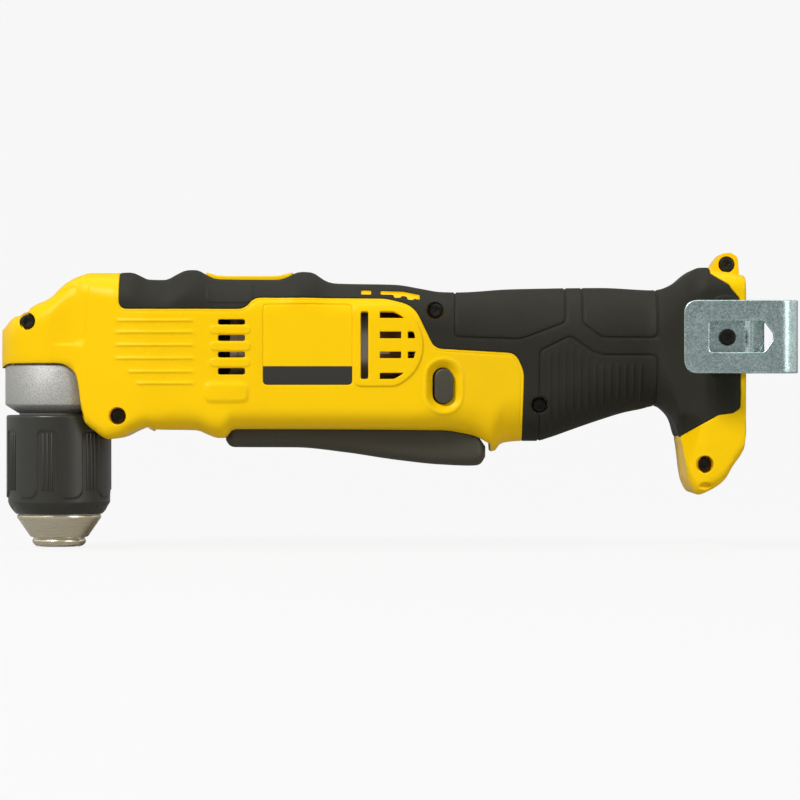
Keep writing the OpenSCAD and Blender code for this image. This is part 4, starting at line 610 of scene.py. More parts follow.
TOP = at(
    (0, 0.733), (0.02, 0.78), (0.0375, 0.791), (0.041, 0.805), (0.072, 0.846), (0.087, 0.884),
    (0.103, 0.91), (0.121, 0.926), (0.128, 0.9275), (0.158, 0.927), (0.18, 0.929), (0.19, 0.919),
    (0.201, 0.905), (0.225, 0.904), (0.24, 0.923), (0.255, 0.938), (0.268, 0.938), (0.277, 0.925),
    (0.295, 0.907), (0.376, 0.905), (0.39, 0.916), (0.399, 0.928), (0.408, 0.932), (0.421, 0.93),
    (0.439, 0.902), (0.45, 0.893), (0.534, 0.888), (0.567, 0.875), (0.594, 0.864), (0.614, 0.863),
    (0.69, 0.875), (0.762, 0.879), (0.811, 0.88), (0.884, 0.872), (0.908, 0.892), (0.927, 0.929),
    (0.939, 0.944), (0.951, 0.944), (0.961, 0.935), (0.985, 0.924), (1, 0.913),
)
BOTTOM = at(
    (0, 0.606), (0.014, 0.611), (0.088, 0.611), (0.104, 0.592), (0.11, 0.551), (0.113, 0.471),
    (0.118, 0.423), (0.129, 0.399), (0.15, 0.366), (0.161, 0.369), (0.185, 0.396), (0.201, 0.408),
    (0.212, 0.399), (0.268, 0.396), (0.282, 0.382), (0.296, 0.37), (0.306, 0.37), (0.316, 0.4),
    (0.594, 0.396), (0.627, 0.379), (0.642, 0.362), (0.654, 0.339), (0.663, 0.323), (0.668, 0.324),
    (0.672, 0.344), (0.678, 0.353), (0.704, 0.359), (0.724, 0.359), (0.74, 0.369), (0.766, 0.392),
    (0.806, 0.427), (0.845, 0.457), (0.865, 0.467), (0.884, 0.478), (0.898, 0.457), (0.908, 0.423),
    (0.913, 0.377), (0.917, 0.358), (0.922, 0.24), (0.937, 0.18), (0.951, 0.193), (0.974, 0.235),
    (0.983, 0.277), (0.995, 0.318), (1, 0.349),
)
CORNERS = np.array([
    (0, 0.29, 0.29, 0.1, 0.1), (0.094, 0.29, 0.29, 0.1, 0.1), (0.171, 0.44, 0.4, 0.2, 0.2),
    (0.25, 0.57, 0.46, 0.38, 0.3), (0.55, 0.57, 0.46, 0.38, 0.3), (0.73, 0.6, 0.7, 0.6, 0.7),
    (0.873, 0.6, 0.7, 0.6, 0.7), (0.93, 0.38, 0.38, 0.2, 0.2), (1, 0.19, 0.19, 0.13, 0.13),
])
WIDTHS = np.array([
    (0, NOSE_R), (0.21 * LENGTH - NOSE_R, HALF_W), (0.55 * LENGTH - NOSE_R, HALF_W),
    (0.746 * LENGTH - NOSE_R, HANDLE_W), (0.873 * LENGTH - NOSE_R, HANDLE_W),
    (0.951 * LENGTH - NOSE_R, FOOT_W - PAD), (REAR, FOOT_W - PAD),
])


def run_of(x, places):
    """Number of the run between two places in which x lies, and the share of it that x has passed."""
    i = np.clip(np.searchsorted(places, x, side="right") - 1, 0, len(places) - 2)
    return i, (x - places[i]) / (places[i + 1] - places[i])


def eased(x, places, values):
    """Values between places, level at each of them."""
    i, t = run_of(x, places)
    t = np.clip(t, 0, 1)
    return values[i] + t * t * (3 - 2 * t) * (values[i + 1] - values[i])


FINE = 0.2


def flowing(points, sigma):
    """A curve that flows through the points without overshoot, as places and heights."""
    xs, ys = points.T
    h = np.diff(xs)
    d = np.diff(ys) / h
    m = np.zeros(len(xs))
    for i in range(1, len(xs) - 1):
        if d[i - 1] * d[i] > 0:
            wa, wb = 2 * h[i] + h[i - 1], h[i] + 2 * h[i - 1]
            m[i] = (wa + wb) / (wa / d[i - 1] + wb / d[i])
    m[0], m[-1] = d[0], d[-1]
    x = np.arange(xs[0], xs[-1] + FINE / 2, FINE)
    i, t = run_of(x, xs)
    y = (
        (2 * t**3 - 3 * t**2 + 1) * ys[i] + (t**3 - 2 * t**2 + t) * h[i] * m[i]
        + (3 * t**2 - 2 * t**3) * ys[i + 1] + (t**3 - t**2) * h[i] * m[i + 1]
    )
    reach = int(4 * sigma / FINE)
    weights = np.exp(-0.5 * (np.arange(-reach, reach + 1) * FINE / sigma) ** 2)
    return x, np.convolve(np.pad(y, reach, mode="edge"), weights / weights.sum(), mode="valid")


BOTTOM_LINE = flowing(BOTTOM, 0.6)
TOP_LINE = flowing(TOP, 0.9)
# The nose's tip keeps its crisp edge
CRISP_END, CRISP_RUN = -8.0, 3.0
crisp = np.clip((CRISP_END - TOP_LINE[0]) / CRISP_RUN, 0, 1)
TOP_LINE = (TOP_LINE[0], TOP_LINE[1] * (1 - crisp) + flowing(TOP, 0.25)[1] * crisp)
STATION = 0.5
TIP_SHARE = 0.9995
FIRST = -TIP_R * math.pi / 2 * TIP_SHARE
STATIONS = np.append(np.arange(FIRST, REAR - STATION / 2, STATION), REAR)
Q = np.linspace(0, 1, 161)
# Least radius of the section's corners
LEAST = 0.3


def x_of(u):
    """Place along X of a place along the body's side, which bends round the nose."""
    return np.where(u < 0, TIP_R * np.sin(np.minimum(u, 0) / TIP_R), u)


def u_of(x):
    """Place along the body's side of a place along X."""
    return np.where(x < 0, TIP_R * np.arcsin(np.clip(x / TIP_R, -1, 0)), x)


def surface_tables():
    """Half sections above and below the middle of the side: their Y, their Z and their lengths."""
    rows = []
    for u in STATIONS:
        x = float(x_of(u))
        w = NOSE_R * math.cos(u / TIP_R) if u < 0 else float(eased(x, WIDTHS[:, 0], WIDTHS[:, 1]))
        high = np.interp(x, *TOP_LINE)
        low = np.interp(x, *BOTTOM_LINE)
        share = (x + NOSE_R) / LENGTH
        rtw, rtz, rbw, rbz = (
            HALF_W * float(eased(share, CORNERS[:, 0], CORNERS[:, k])) for k in range(1, 5)
        )
        room = (high - low) / 2 - LEAST
        rtw, rbw = (max(min(LEAST, 0.9 * w), min(w - LEAST, r)) for r in (rtw, rbw))
        rtz, rbz = (max(LEAST, min(room, r)) for r in (rtz, rbz))
        a = np.linspace(0, math.pi / 2, 30)
        middle = (high - rtz + low + rbz) / 2
        row = []
        for end, rw, rz, way in ((high, rtw, rtz, 1), (low, rbw, rbz, -1)):
            corner = np.column_stack([w - rw + rw * np.cos(a), end - way * rz + way * rz * np.sin(a)])
            half = np.vstack([[(w, middle)], corner, [(0, end)]])
            along = np.concatenate([[0], np.cumsum(np.hypot(*np.diff(half, axis=0).T))])
            y, z = (np.interp(Q * along[-1], along, half[:, k]) for k in (0, 1))
            row.append((y, z, along[-1]))
        rows.append(row)
    return (np.array([[row[half][k] for row in rows] for half in (0, 1)]) for k in range(3))


SIDE_Y, SIDE_Z, REACH = surface_tables()


def reach_at(u, half):
    """Length of the half section from the middle of the side to the top (0) or the bottom (1)."""
    return np.interp(u, STATIONS, REACH[half])


def surface(u, v):
    """Points of the right side at (u along the body, v up from the middle of the side)."""
    u, v = np.asarray(u, float), np.asarray(v, float)
    i, f = run_of(u, STATIONS)
    f = np.clip(f, 0, 1)
    half = (v < 0).astype(int)
    length = (1 - f) * REACH[half, i] + f * REACH[half, i + 1]
    q = np.clip(np.abs(v) / length, 0, 1) * (len(Q) - 1)
    j = np.clip(q.astype(int), 0, len(Q) - 2)
    g = q - j

    def pick(table):
        near = (1 - g) * table[half, i, j] + g * table[half, i, j + 1]
        far = (1 - g) * table[half, i + 1, j] + g * table[half, i + 1, j + 1]
        return (1 - f) * near + f * far

    return np.column_stack([x_of(u), pick(SIDE_Y), pick(SIDE_Z)])


def normals(u, v):
    """Outward directions of the right side."""
    across = surface(np.minimum(u + FINE, REAR), v) - surface(np.maximum(u - FINE, FIRST), v)
    top, low = reach_at(u, 0), -reach_at(u, 1)
    upward = surface(u, np.minimum(v + FINE, top)) - surface(u, np.maximum(v - FINE, low))
    n = np.cross(upward, across)
    return n / np.maximum(np.linalg.norm(n, axis=1), 1e-9)[:, None]


def section(u):
    """Domain heights, Y and Z along the side's section at a place, from the bottom to the top."""
    i, f = run_of(u, STATIONS)
    f = np.clip(f, 0, 1)
    v = np.concatenate([-Q[::-1] * reach_at(u, 1), Q * reach_at(u, 0)])
    y, z = (
        np.concatenate([((1 - f) * t[1, i] + f * t[1, i + 1])[::-1], (1 - f) * t[0, i] + f * t[0, i + 1]])
        for t in (SIDE_Y, SIDE_Z)
    )
    return v, y, z


def on_side(points):
    """Domain places of points given as (x, z) on the side."""
    out = []
    for x, z in points:
        u = float(u_of(x))
        vs, _, zs = section(u)
        out.append((u, float(np.interp(z, zs, vs))))
    return np.array(out)


DRAWN_STEP, BLOCK_STEP, ROW_STEP = 0.5, 0.7, 0.6


def drawn(points, radius, is_loop=False, steps=8):
    """Domain places along an outline drawn on the side with rounded corners."""
    line = rounded(points, radius, closed=is_loop, steps=steps)
    return on_side(looped(line, DRAWN_STEP) if is_loop else even(line, DRAWN_STEP))


def seamed(first, points, radius, last, steps=8):
    """Domain places along a line on the side between two places on the seams."""
    return np.vstack([[first], drawn(points, radius, steps=steps), [last]])


def below(points):
    """Domain places of points given as (x, y) on the underside."""
    out = []
    for x, y in points:
        u = float(u_of(x))
        vs, ys, _ = section(u)
        half = len(vs) // 2
        out.append((u, float(np.interp(y, ys[:half], vs[:half]))))
    return np.array(out)


def top_at(x):
    """Domain place on the top seam."""
    u = float(u_of(x))
    return (u, float(reach_at(u, 0)))


def low_at(x):
    """Domain place on the bottom seam."""
    u = float(u_of(x))
    return (u, -float(reach_at(u, 1)))


# Features of the body's side

# Far beyond the domain
FAR = 300
GRIP_FRONT = seamed(top_at(28.0), [
    (28.0, 112), (28.0, 102.9), (82.1, 102.9), (86.2, 107.9), (142.3, 107.5), (154.6, 104.6),
    (160.4, 92.5), (163.6, 85.9), (198.6, 84.0), (202.3, 76), (201.6, 52),
], [0, 3.6, 7, 6, 20, 12, 12, 6, 6, 12, 0], low_at(201.5), steps=10)
GRIP_REAR = seamed(low_at(269.1), [
    (269.3, 48.2), (277.4, 53.2), (285.1, 57.4), (291.1, 58.2), (294.3, 60.2), (294.6, 67.7),
    (294.3, 107.1), (290.6, 111.3), (289.5, 113.3), (281.9, 118.3),
], [0, 6, 5, 3, 2, 10, 3, 2, 2, 0], top_at(280.8))
GRIP_AREA = np.vstack([
    [(GRIP_FRONT[0][0], FAR)], GRIP_FRONT, [(GRIP_FRONT[-1][0], -FAR)],
    [(GRIP_REAR[0][0], -FAR)], GRIP_REAR, [(GRIP_REAR[-1][0], FAR)],
])


def block(x0, z0, x1, z1, r=0.8, steps=4):
    """A rounded rectangle on the side."""
    corners = [(x0, z0), (x1, z0), (x1, z1), (x0, z1)]
    return on_side(looped(rounded(corners, r, steps=steps), BLOCK_STEP))


def obround(cx, cz, w, h, count=20):
    """An upright slot shape with round ends."""
    a = np.linspace(0, math.pi, count)
    half = np.column_stack([w / 2 * np.cos(a), (h - w) / 2 + w / 2 * np.sin(a)])
    return np.vstack([(cx, cz) + half, (cx, cz) - half])


SCREWS = [(-12.2, 97.8), (27.4, 56.9), (163.9, 102.3), (209.0, 61.6), (279.2, 36.2)]
LUG_SCREW = (290.1, 122.5)
HOOK_SCREW = (288.53, 90.62)
SCREW_RECESS, SCREW_MOUTH, SCREW_EDGE = 8.0, 3.75, 0.35
BUTTON = (167.46, 69.76)
BUTTON_SIZE, BUTTON_HOLE = (8.0, 15.2), (8.6, 15.8)
BUTTON_DISH, BUTTON_RIM = (12.4, 19.8), (17.2, 24.6)
VENT_X, VENT_EDGE = (70.7, 82.3), 0.35
VENT_ROWS = [(96.1, 98.4), (89.1, 91.7), (82.0, 84.5), (74.7, 77.5)]
# Round grille: its rows of openings, the slot before them and the post that splits two rows
D_ROWS = [(98.9, 101.7), (90.2, 93.1), (81.7, 84.5), (72.8, 75.4)]
D_CENTER, D_R, D_LEFT = (140.0, 87.2), 15.6, 140.1
D_SLOT_X, D_POST_X = (131.9, 135.1), (149.2, 152.1)
D_RIM_X, D_RIM_Z, D_RIM_R, D_RIM_TURN = 129.4, (69.6, 104.6), 18.6, math.radians(70)


def d_row(z0, z1, x0=D_LEFT, x1=None):
    """One opening of the round grille, ended by the circle on its right."""
    cx, cz = D_CENTER
    arc = []
    for z in np.linspace(z0, z1, 7):
        x = cx + math.sqrt(max(0.0, D_R**2 - (z - cz) ** 2))
        arc.append((x if x1 is None else x1, z))
    return on_side(looped(np.array([(x0, z0), *arc, (x0, z1)]), ROW_STEP))


POCKET_R, POCKET_TOP = 24.45, 81
angles = np.linspace(math.pi - 0.02, 0, 80)
POCKET = below(np.column_stack([POCKET_R * np.cos(angles), POCKET_R * np.sin(angles)]))
SLOT_X, SLOT_W, SLOT_TOP, SLOT_NEAR = (71.5, 187.4), 17.8, 58.0, 0.1
SLOT = below(np.vstack([
    [(SLOT_X[0], y) for y in np.linspace(0, SLOT_W, 18)],
    [(x, SLOT_W) for x in np.arange(SLOT_X[0] + 1, SLOT_X[1], 1.0)],
    [(SLOT_X[1], y) for y in np.linspace(SLOT_W, 0, 18)],
]))
BAY_X, BAY_W, BAY_TOP = 283.9, 27.0, 107.5
BAY = below(np.vstack([
    [(BAY_X, y) for y in np.linspace(0, BAY_W, 26)],
    [(x, BAY_W) for x in np.arange(BAY_X + BLOCK_STEP, REAR + 0.01, BLOCK_STEP)],
]))


class Cut:
    """An opening in the body's surface, with the way in which its wall runs inwards."""

    def __init__(self, outline, edge_r, inward=None, side=0, is_open=False):
        self.outline = outline
        self.is_loop = not is_open
        self.area, self.line = outline, closed(outline)
        if is_open:
            below_all = [(outline[-1][0], -FAR), (outline[0][0], -FAR)]
            self.area, self.line = np.vstack([outline, below_all]), outline
        self.edge_r = edge_r
        self.inward = inward
        self.side = side


def width_at(x):
    """Half the body's width behind the nose."""
    return eased(x, WIDTHS[:, 0], WIDTHS[:, 1])


def seat_depth(x):
    """Half the body's width where a screw sits."""
    return float(width_at(np.float64(x))) if x > 0 else math.sqrt(NOSE_R**2 - x * x)


def to_depth(depth):
    """A wall that runs across the body to a depth."""
    def inward(p):
        p = p.copy()
        p[:, 1] = np.minimum(depth, p[:, 1])
        return p
    return inward


def to_height(z):
    """A wall that runs up to a height."""
    def inward(p):
        p = p.copy()
        p[:, 2] = np.maximum(z, p[:, 2])
        return p
    return inward


BUTTON_DEPTH, HOOK_HOLE_R, HOOK_HOLE_DEPTH = 20, 3.45, 27
cuts = [
    Cut(POCKET, 0.6, to_height(POCKET_TOP), is_open=True),
    Cut(SLOT, 0.5, to_height(SLOT_TOP), is_open=True),
    Cut(BAY, 0.5, to_height(BAY_TOP), is_open=True),
    Cut(on_side(obround(*BUTTON, *BUTTON_HOLE)), 0.5, to_depth(BUTTON_DEPTH)),
    Cut(on_side(ring(*HOOK_SCREW, HOOK_HOLE_R)), 0.3, to_depth(HOOK_HOLE_DEPTH)),
]
for x, z in SCREWS:
    mouth = on_side(ring(x, z, SCREW_MOUTH, 64))
    cuts.append(Cut(mouth, SCREW_EDGE, to_depth(seat_depth(x) - SCREW_RECESS), side=-1))
vents = [block(VENT_X[0], low, VENT_X[1], high) for low, high in VENT_ROWS]
vents += [block(D_SLOT_X[0], D_ROWS[-1][0], D_SLOT_X[1], D_ROWS[0][1])]
vents += [d_row(*D_ROWS[0]), d_row(*D_ROWS[-1])]
for row in D_ROWS[1:-1]:
    vents += [d_row(*row, x1=D_POST_X[0]), d_row(*row, x0=D_POST_X[1])]
cuts += [Cut(outline, VENT_EDGE) for outline in vents]

LABEL = block(90.0, 70.3, 128.2, 104.9, 1.9, 6)
# Places where the shell shows through the overmould
WINDOWS = [
    block(131.9, 109.3, 136.3, 111.2, 0.3, 2),
    on_side(looped(rounded([
        (140.3, 109.3), (145.9, 109.2), (146.3, 107.9), (149.0, 107.9), (149.3, 108.7), (151.7, 108.4),
        (152, 107.1), (154.4, 106.9), (154.7, 107.6), (157.2, 107.0), (157.2, 109.3), (150, 110.7),
        (140.3, 111.0),
    ], 0.3, steps=2), ROW_STEP)),
]


class Rise:
    """A raised or sunk patch inside an outline, with a soft edge."""

    def __init__(self, outline, height, soft, fade=None):
        self.outline = outline
        self.line = closed(outline)
        self.height = height
        self.soft = soft
        self.fade = fade


class Bead:
    """A raised ridge or sunk groove along a line."""

    def __init__(self, line, height, half, ends=0.0):
        self.line = line
        self.height = height
        self.half = half
        self.ends = ends


STEP_CORNER = (13.3, 87.8)
HEAD_STEP = [(-24, STEP_CORNER[1]), STEP_CORNER, (15.4, 116), (-24, 100)]
STEP_REACH = (15, 30)


def step_fade(places):
    """The head's step runs out along the side and up it."""
    away = np.abs(places - on_side([STEP_CORNER])[0])
    along, up = (np.clip(1 - (d / reach) ** 2, 0, 1) for d, reach in zip(away.T, STEP_REACH))
    return along * up


d_ring = np.vstack([
    [(D_RIM_X, z) for z in D_RIM_Z],
    [
        (D_CENTER[0] + D_RIM_R * math.cos(a), D_CENTER[1] + D_RIM_R * math.sin(a))
        for a in np.linspace(D_RIM_TURN, -D_RIM_TURN, 24)
    ],
])
FOOT_HOLLOW = (279.4, 26.9, 2.5)
VENT_FOOT, VENT_HEAD = block(65.2, 63, 83.4, 71, 2.4), block(65.8, 105.5, 85.5, 113.4, 2.2)
HOOK_PAD = block(283.2, 58.9, 293.2, 108.3, 3.4)
rises = [
    Rise(drawn(HEAD_STEP, [0, 3.5, 0, 0], True), height=-1.1, soft=0.7, fade=step_fade),
    Rise(VENT_FOOT, height=0.9, soft=1.1),
    Rise(VENT_HEAD, height=0.35, soft=0.45),
    Rise(HOOK_PAD, height=PAD, soft=0.5),
    Rise(drawn(d_ring, 3.0, True), height=0.8, soft=0.5),
    Rise(on_side(ring(*FOOT_HOLLOW, 28, squeeze=0.55)), height=-1.6, soft=0.45),
    Rise(on_side(obround(*BUTTON, *BUTTON_RIM, 24)), height=0.35, soft=0.8),
    Rise(on_side(obround(*BUTTON, *BUTTON_DISH, 24)), height=-2.6, soft=2.0),
]
VENT_BAR_X, VENT_BAR_GAP = (67.4, 84.6), 0.5
for (low, _), (_, high) in zip(VENT_ROWS, VENT_ROWS[1:]):
    bar = block(VENT_BAR_X[0], high + VENT_BAR_GAP, VENT_BAR_X[1], low - VENT_BAR_GAP, 1.6)
    rises.append(Rise(bar, height=0.4, soft=0.45))

# Grooves round the grip's panels
PANELS = [
    seamed(top_at(172.5), [
        (172.5, 106), (172.5, 90.8), (200.3, 90.0), (204.1, 91.2), (220.2, 97.4), (220.3, 107),
    ], [0, 2, 3, 4, 3, 0], top_at(220.3)),
    seamed(top_at(227.7), [
        (227.7, 107), (227.7, 96.8), (235.8, 90.8), (259.8, 90.6), (259.8, 106),
    ], [0, 3, 3, 2.5, 0], top_at(259.8)),
    seamed(low_at(208.8), [
        (208.8, 56), (209.1, 85), (222, 91.4), (232.2, 84.4), (236.4, 83.2), (259.8, 83.2), (259.6, 70),
    ], [0, 3, 4, 3, 3, 3, 0], low_at(259.0)),
]
beads = [Bead(even(line, 0.9), height=-0.6, half=0.55) for line in PANELS]
GRIP_RIBS, GRIP_RIB_X, GRIP_RIB_STEP, GRIP_RIB_RISE = 13, 213.3, 3.28, 3.2
GRIP_RIB_TOP = np.array([(209, 80.6), (211, 82.4), (222, 87.6), (233, 80.0), (237, 79.3), (259, 79.3)])
for k in range(GRIP_RIBS):
    x = GRIP_RIB_X + GRIP_RIB_STEP * k
    low = np.interp(x, *BOTTOM_LINE) + GRIP_RIB_RISE
    line = on_side([(x, z) for z in np.linspace(low, np.interp(x, *GRIP_RIB_TOP.T), 24)])
    beads.append(Bead(line, height=0.4, half=0.75, ends=0.6))
HEAD_RIBS = [(27, 97.9), (26.6, 92.9), (26.4, 87.4), (26.2, 81.7), (32, 76.0), (35.6, 71.0)]
HEAD_RIB_END = 60.4
for start, z in HEAD_RIBS:
    line = on_side([(x, z) for x in np.linspace(start, HEAD_RIB_END, 30)])
    beads.append(Bead(line, height=0.5, half=0.8, ends=1.2))
# Fine groove in the shell along the overmould's front edge
lip = drawn([
    (27.0, 112), (27.0, 101.8), (82.6, 101.8), (86.7, 106.8), (142.0, 106.4), (153.8, 103.8),
    (159.4, 92), (162.9, 84.8), (197.9, 82.9), (201.1, 75.6), (200.4, 52),
], [0, 4.6, 8, 7, 19, 12, 13, 7, 5, 11, 0])
beads.append(Bead(even(lip, 1.0), height=-0.22, half=0.35))


def rows_of(line, offsets, is_loop):
    """The line's points shifted sideways by each offset."""
    ahead = np.roll(line, -1, axis=0) - np.roll(line, 1, axis=0)
    if not is_loop:
        ahead[0], ahead[-1] = line[1] - line[0], line[-1] - line[-2]
    ahead /= np.maximum(np.hypot(*ahead.T), 1e-9)[:, None]
    side = np.column_stack([-ahead[:, 1], ahead[:, 0]])
    return [line + side * d for d in offsets]


# Edge between the foot's side and the facet on its front
EDGE_Z, EDGE_X = (20, 30, 37, 47, 54, 60), (270.2, 271.4, 273.0, 276.2, 278.4, 279.8)
EDGE_SLOPE, EDGE_ENDS = 1.5, (27, 53.5)
FACET_X, FACET_LEAST_W, FACET_TOP, FACET_FADE = 262, 15, 58, 9
FOOT_EDGE = on_side([(np.interp(z, EDGE_Z, EDGE_X), z) for z in np.linspace(*EDGE_ENDS, 40)])


def foot_cut(points):
    """How far the facet on the foot's front lies inside the plain side."""
    x, y, z = points.T
    edge = np.interp(z, EDGE_Z, EDGE_X)
    limit = np.maximum(width_at(edge) - EDGE_SLOPE * (edge - x), FACET_LEAST_W)
    t = np.clip((FACET_TOP - z) / FACET_FADE, 0, 1)
    return np.where((x > FACET_X) & (x < edge), np.maximum(y - limit, 0), 0) * t * t * (3 - 2 * t)


def fillet(distance, r):
    """How far a rounded edge lies below its sharp edge, at a distance from it."""
    reach = np.clip(r - distance, 0, r)
    return r - np.sqrt(np.maximum(r * r - reach * reach, 0))


SEAM_R, GRIP_R, LABEL_R, REAR_R = 0.3, 0.6, 0.42, 0.9
LABEL_DEPTH, WINDOW_DEPTH = 0.15, 0.9
# Distances at which free points are too near the domain's ends, crowd a point or merge with it
MARGIN, CROWDED, MERGED = 0.05, 0.09, 2e-4
# Distance of a side from the middle plane, and those at which a point counts as on a line
MIDDLE_Y, ON_LINE, ON_CUT = 0.02, 0.02, 0.01
# Steps along the seams and of the free points, along and up, at large and where the foot is steep
SEAM_STEP, SEAM_FINE, GRID, STEEP_GRID = 1.6, 0.4, (1.9, 1.9), (0.35, 1.0)
STEEP = (261.0, 281.0)
# Where rows of points run beside an edge, a patch or a ridge, as shares of its width
CUT_ROWS, GRIP_ROWS, LABEL_ROWS = (0.12, 0.4, 0.75, 1.1), (0.1, 0.35, 0.7, 1.1), (0.15, 0.5, 1.0)
RISE_ROWS = (-1.2, -0.7, -0.3, 0, 0.3, 0.7, 1.2)
BEAD_ROWS = (-1.3, -0.9, -0.55, -0.25, 0, 0.25, 0.55, 0.9, 1.3)
SEAM_ROWS, REAR_ROWS, EDGE_ROWS = (0.1, 0.3, 0.8), (0.1, 0.3, 0.6, 0.95), (-1.4, -0.5, 0.5, 1.4)


def body_mesh(side):
    """One side's places in the domain, its triangles, which of them stay and their kinds, and then
    the points, their outward directions and the openings.

    Kinds are 0 for the shell, 1 for the grip and 2 for the label.
    """
    points, edges = [], []

    def scatter(line):
        points.extend([tuple(p) for p in line])

    def fix(line, is_loop=False):
        ids = list(range(len(points), len(points) + len(line)))
        scatter(line)
        edges.extend(zip(ids, ids[1:] + (ids[:1] if is_loop else [])))

    def beside(line, width, shares, is_loop=False):
        for row in rows_of(line, [k * width for k in shares], is_loop):
            scatter(row)

    def both(shares):
        return [s * k for s in (-1, 1) for k in shares]

    my_cuts = [c for c in cuts if c.side in (0, side)]
    us = np.concatenate([
        np.arange(FIRST, STEEP[0], SEAM_STEP), np.arange(STEEP[0], REAR - SEAM_FINE / 2, SEAM_FINE),
        [REAR],
    ])
    fix(np.column_stack([us, reach_at(us, 0)]))
    fix(np.column_stack([us, -reach_at(us, 1)]))
    for end in (FIRST, REAR, *(REAR - d for d in REAR_ROWS)):
        vs = np.linspace(-reach_at(end, 1), reach_at(end, 0), 70)
        (fix if end in (FIRST, REAR) else scatter)(np.column_stack([np.full(len(vs), end), vs]))
    for d in SEAM_ROWS:
        scatter(np.column_stack([us, reach_at(us, 0) - d]))
        scatter(np.column_stack([us, d - reach_at(us, 1)]))
    for cut in my_cuts:
        fix(cut.outline, cut.is_loop)
        beside(cut.outline, cut.edge_r, both(CUT_ROWS), cut.is_loop)
    for line in (GRIP_FRONT, GRIP_REAR):
        dense = even(line, 0.8)
        fix(dense)
        beside(dense, GRIP_R, both(GRIP_ROWS))
    for loop in [LABEL, *WINDOWS]:
        fix(loop, True)
        beside(loop, LABEL_R, both(LABEL_ROWS), True)
    for rise in rises:
        beside(even(rise.line, min(1.0, rise.soft))[:-1], rise.soft, RISE_ROWS, True)
    fix(FOOT_EDGE)
    beside(FOOT_EDGE, 1, EDGE_ROWS)
    for bead in beads:
        beside(even(bead.line, 1.0), bead.half, BEAD_ROWS)
    for ends, (along, up) in (((FIRST + 0.9, REAR - 0.5), GRID), (STEEP, STEEP_GRID)):
        for k, u in enumerate(np.arange(*ends, along)):
            vs = np.arange(-reach_at(u, 1) + 1.0 + (k % 2) * up / 2, reach_at(u, 0) - 0.9, up)
            scatter(np.column_stack([np.full(len(vs), u), vs]))

    points = np.array(points)
    top, low = reach_at(points[:, 0], 0), -reach_at(points[:, 0], 1)
    fixed = np.zeros(len(points), bool)
    fixed[np.unique(np.array(edges).ravel())] = True
    good = fixed | (
        (points[:, 1] < top - MARGIN) & (points[:, 1] > low + MARGIN)
        & (points[:, 0] > FIRST + MARGIN) & (points[:, 0] < REAR - MARGIN)
    )
    points[:, 1] = np.clip(points[:, 1], low, top)
    # Free points that crowd a fixed line or an earlier point are left out
    seen = set(map(tuple, np.round(points[fixed] / CROWDED).astype(int)))
    for i in np.nonzero(good & ~fixed)[0]:
        key = tuple(np.round(points[i] / CROWDED).astype(int))
        if key in seen:
            good[i] = False
        seen.add(key)
    renumber = np.cumsum(good) - 1
    lines = [(int(renumber[a]), int(renumber[b])) for a, b in edges]
    out = delaunay_2d_cdt([Vector(p) for p in points[good]], lines, [], 0, MERGED)
    uv = np.array([tuple(p) for p in out[0]])
    tris = np.array([tuple(f) for f in out[2]])
    uv[:, 1] = np.clip(uv[:, 1], -reach_at(uv[:, 0], 1), reach_at(uv[:, 0], 0))
    middle = uv[tris].mean(1)
    keep = (middle[:, 1] < reach_at(middle[:, 0], 0)) & (middle[:, 1] > -reach_at(middle[:, 0], 1))
    for cut in my_cuts:
        keep &= ~inside(middle, cut.area)
    kind = np.where(inside(middle, GRIP_AREA), 1, 0)
    for window in WINDOWS:
        kind[inside(middle, window)] = 0
    kind[inside(middle, LABEL)] = 2

    # Height of each point over the plain surface
    lift = np.zeros(len(uv))

    def near(line, margin):
        lo, hi = line.min(0) - margin, line.max(0) + margin
        return np.nonzero(((uv >= lo) & (uv <= hi)).all(1))[0]

    for rise in rises:
        i = near(rise.line, 3)
        d = line_distance(uv[i], rise.line) * np.where(inside(uv[i], rise.outline), 1, -1)
        t = np.clip((d + rise.soft) / (2 * rise.soft), 0, 1)
        lift[i] += rise.height * t * t * (3 - 2 * t) * (rise.fade(uv[i]) if rise.fade else 1)
    for bead in beads:
        i = near(bead.line, 3)
        d = line_distance(uv[i], bead.line)
        shape = np.clip(1 - (d / bead.half) ** 2, 0, 1)
        if bead.ends:
            away = [np.hypot(*(uv[i] - end).T) for end in (bead.line[0], bead.line[-1])]
            shape = shape * np.clip(np.minimum(*away) / bead.ends, 0, 1)
        lift[i] += bead.height * shape
    for line in (GRIP_FRONT, GRIP_REAR):
        i = near(line, 2)
        lift[i] -= fillet(line_distance(uv[i], line), GRIP_R)
    for loop, depth in [(LABEL, LABEL_DEPTH), *((w, WINDOW_DEPTH) for w in WINDOWS)]:
        i = near(loop, 2)
        d = line_distance(uv[i], closed(loop))
        lift[i] -= fillet(d, LABEL_R)
        lift[i[inside(uv[i], loop) & (d > ON_LINE)]] -= depth
    for cut in my_cuts:
        i = near(cut.line, 3)
        lift[i] -= fillet(line_distance(uv[i], cut.line), cut.edge_r)
    lift -= fillet(reach_at(uv[:, 0], 0) - uv[:, 1], SEAM_R)
    lift -= fillet(uv[:, 1] + reach_at(uv[:, 0], 1), SEAM_R)
    lift -= fillet(REAR - uv[:, 0], REAR_R)

    plain = surface(uv[:, 0], uv[:, 1])
    n = normals(uv[:, 0], uv[:, 1])
    plain[:, 1] -= foot_cut(plain)
    outer = plain + n * lift[:, None]
    outer[:, 1] = np.maximum(outer[:, 1], MIDDLE_Y)
    outer[:, 0] = np.clip(outer[:, 0], -TIP_R, REAR)
    return uv, tris, keep, kind, outer, n, my_cuts


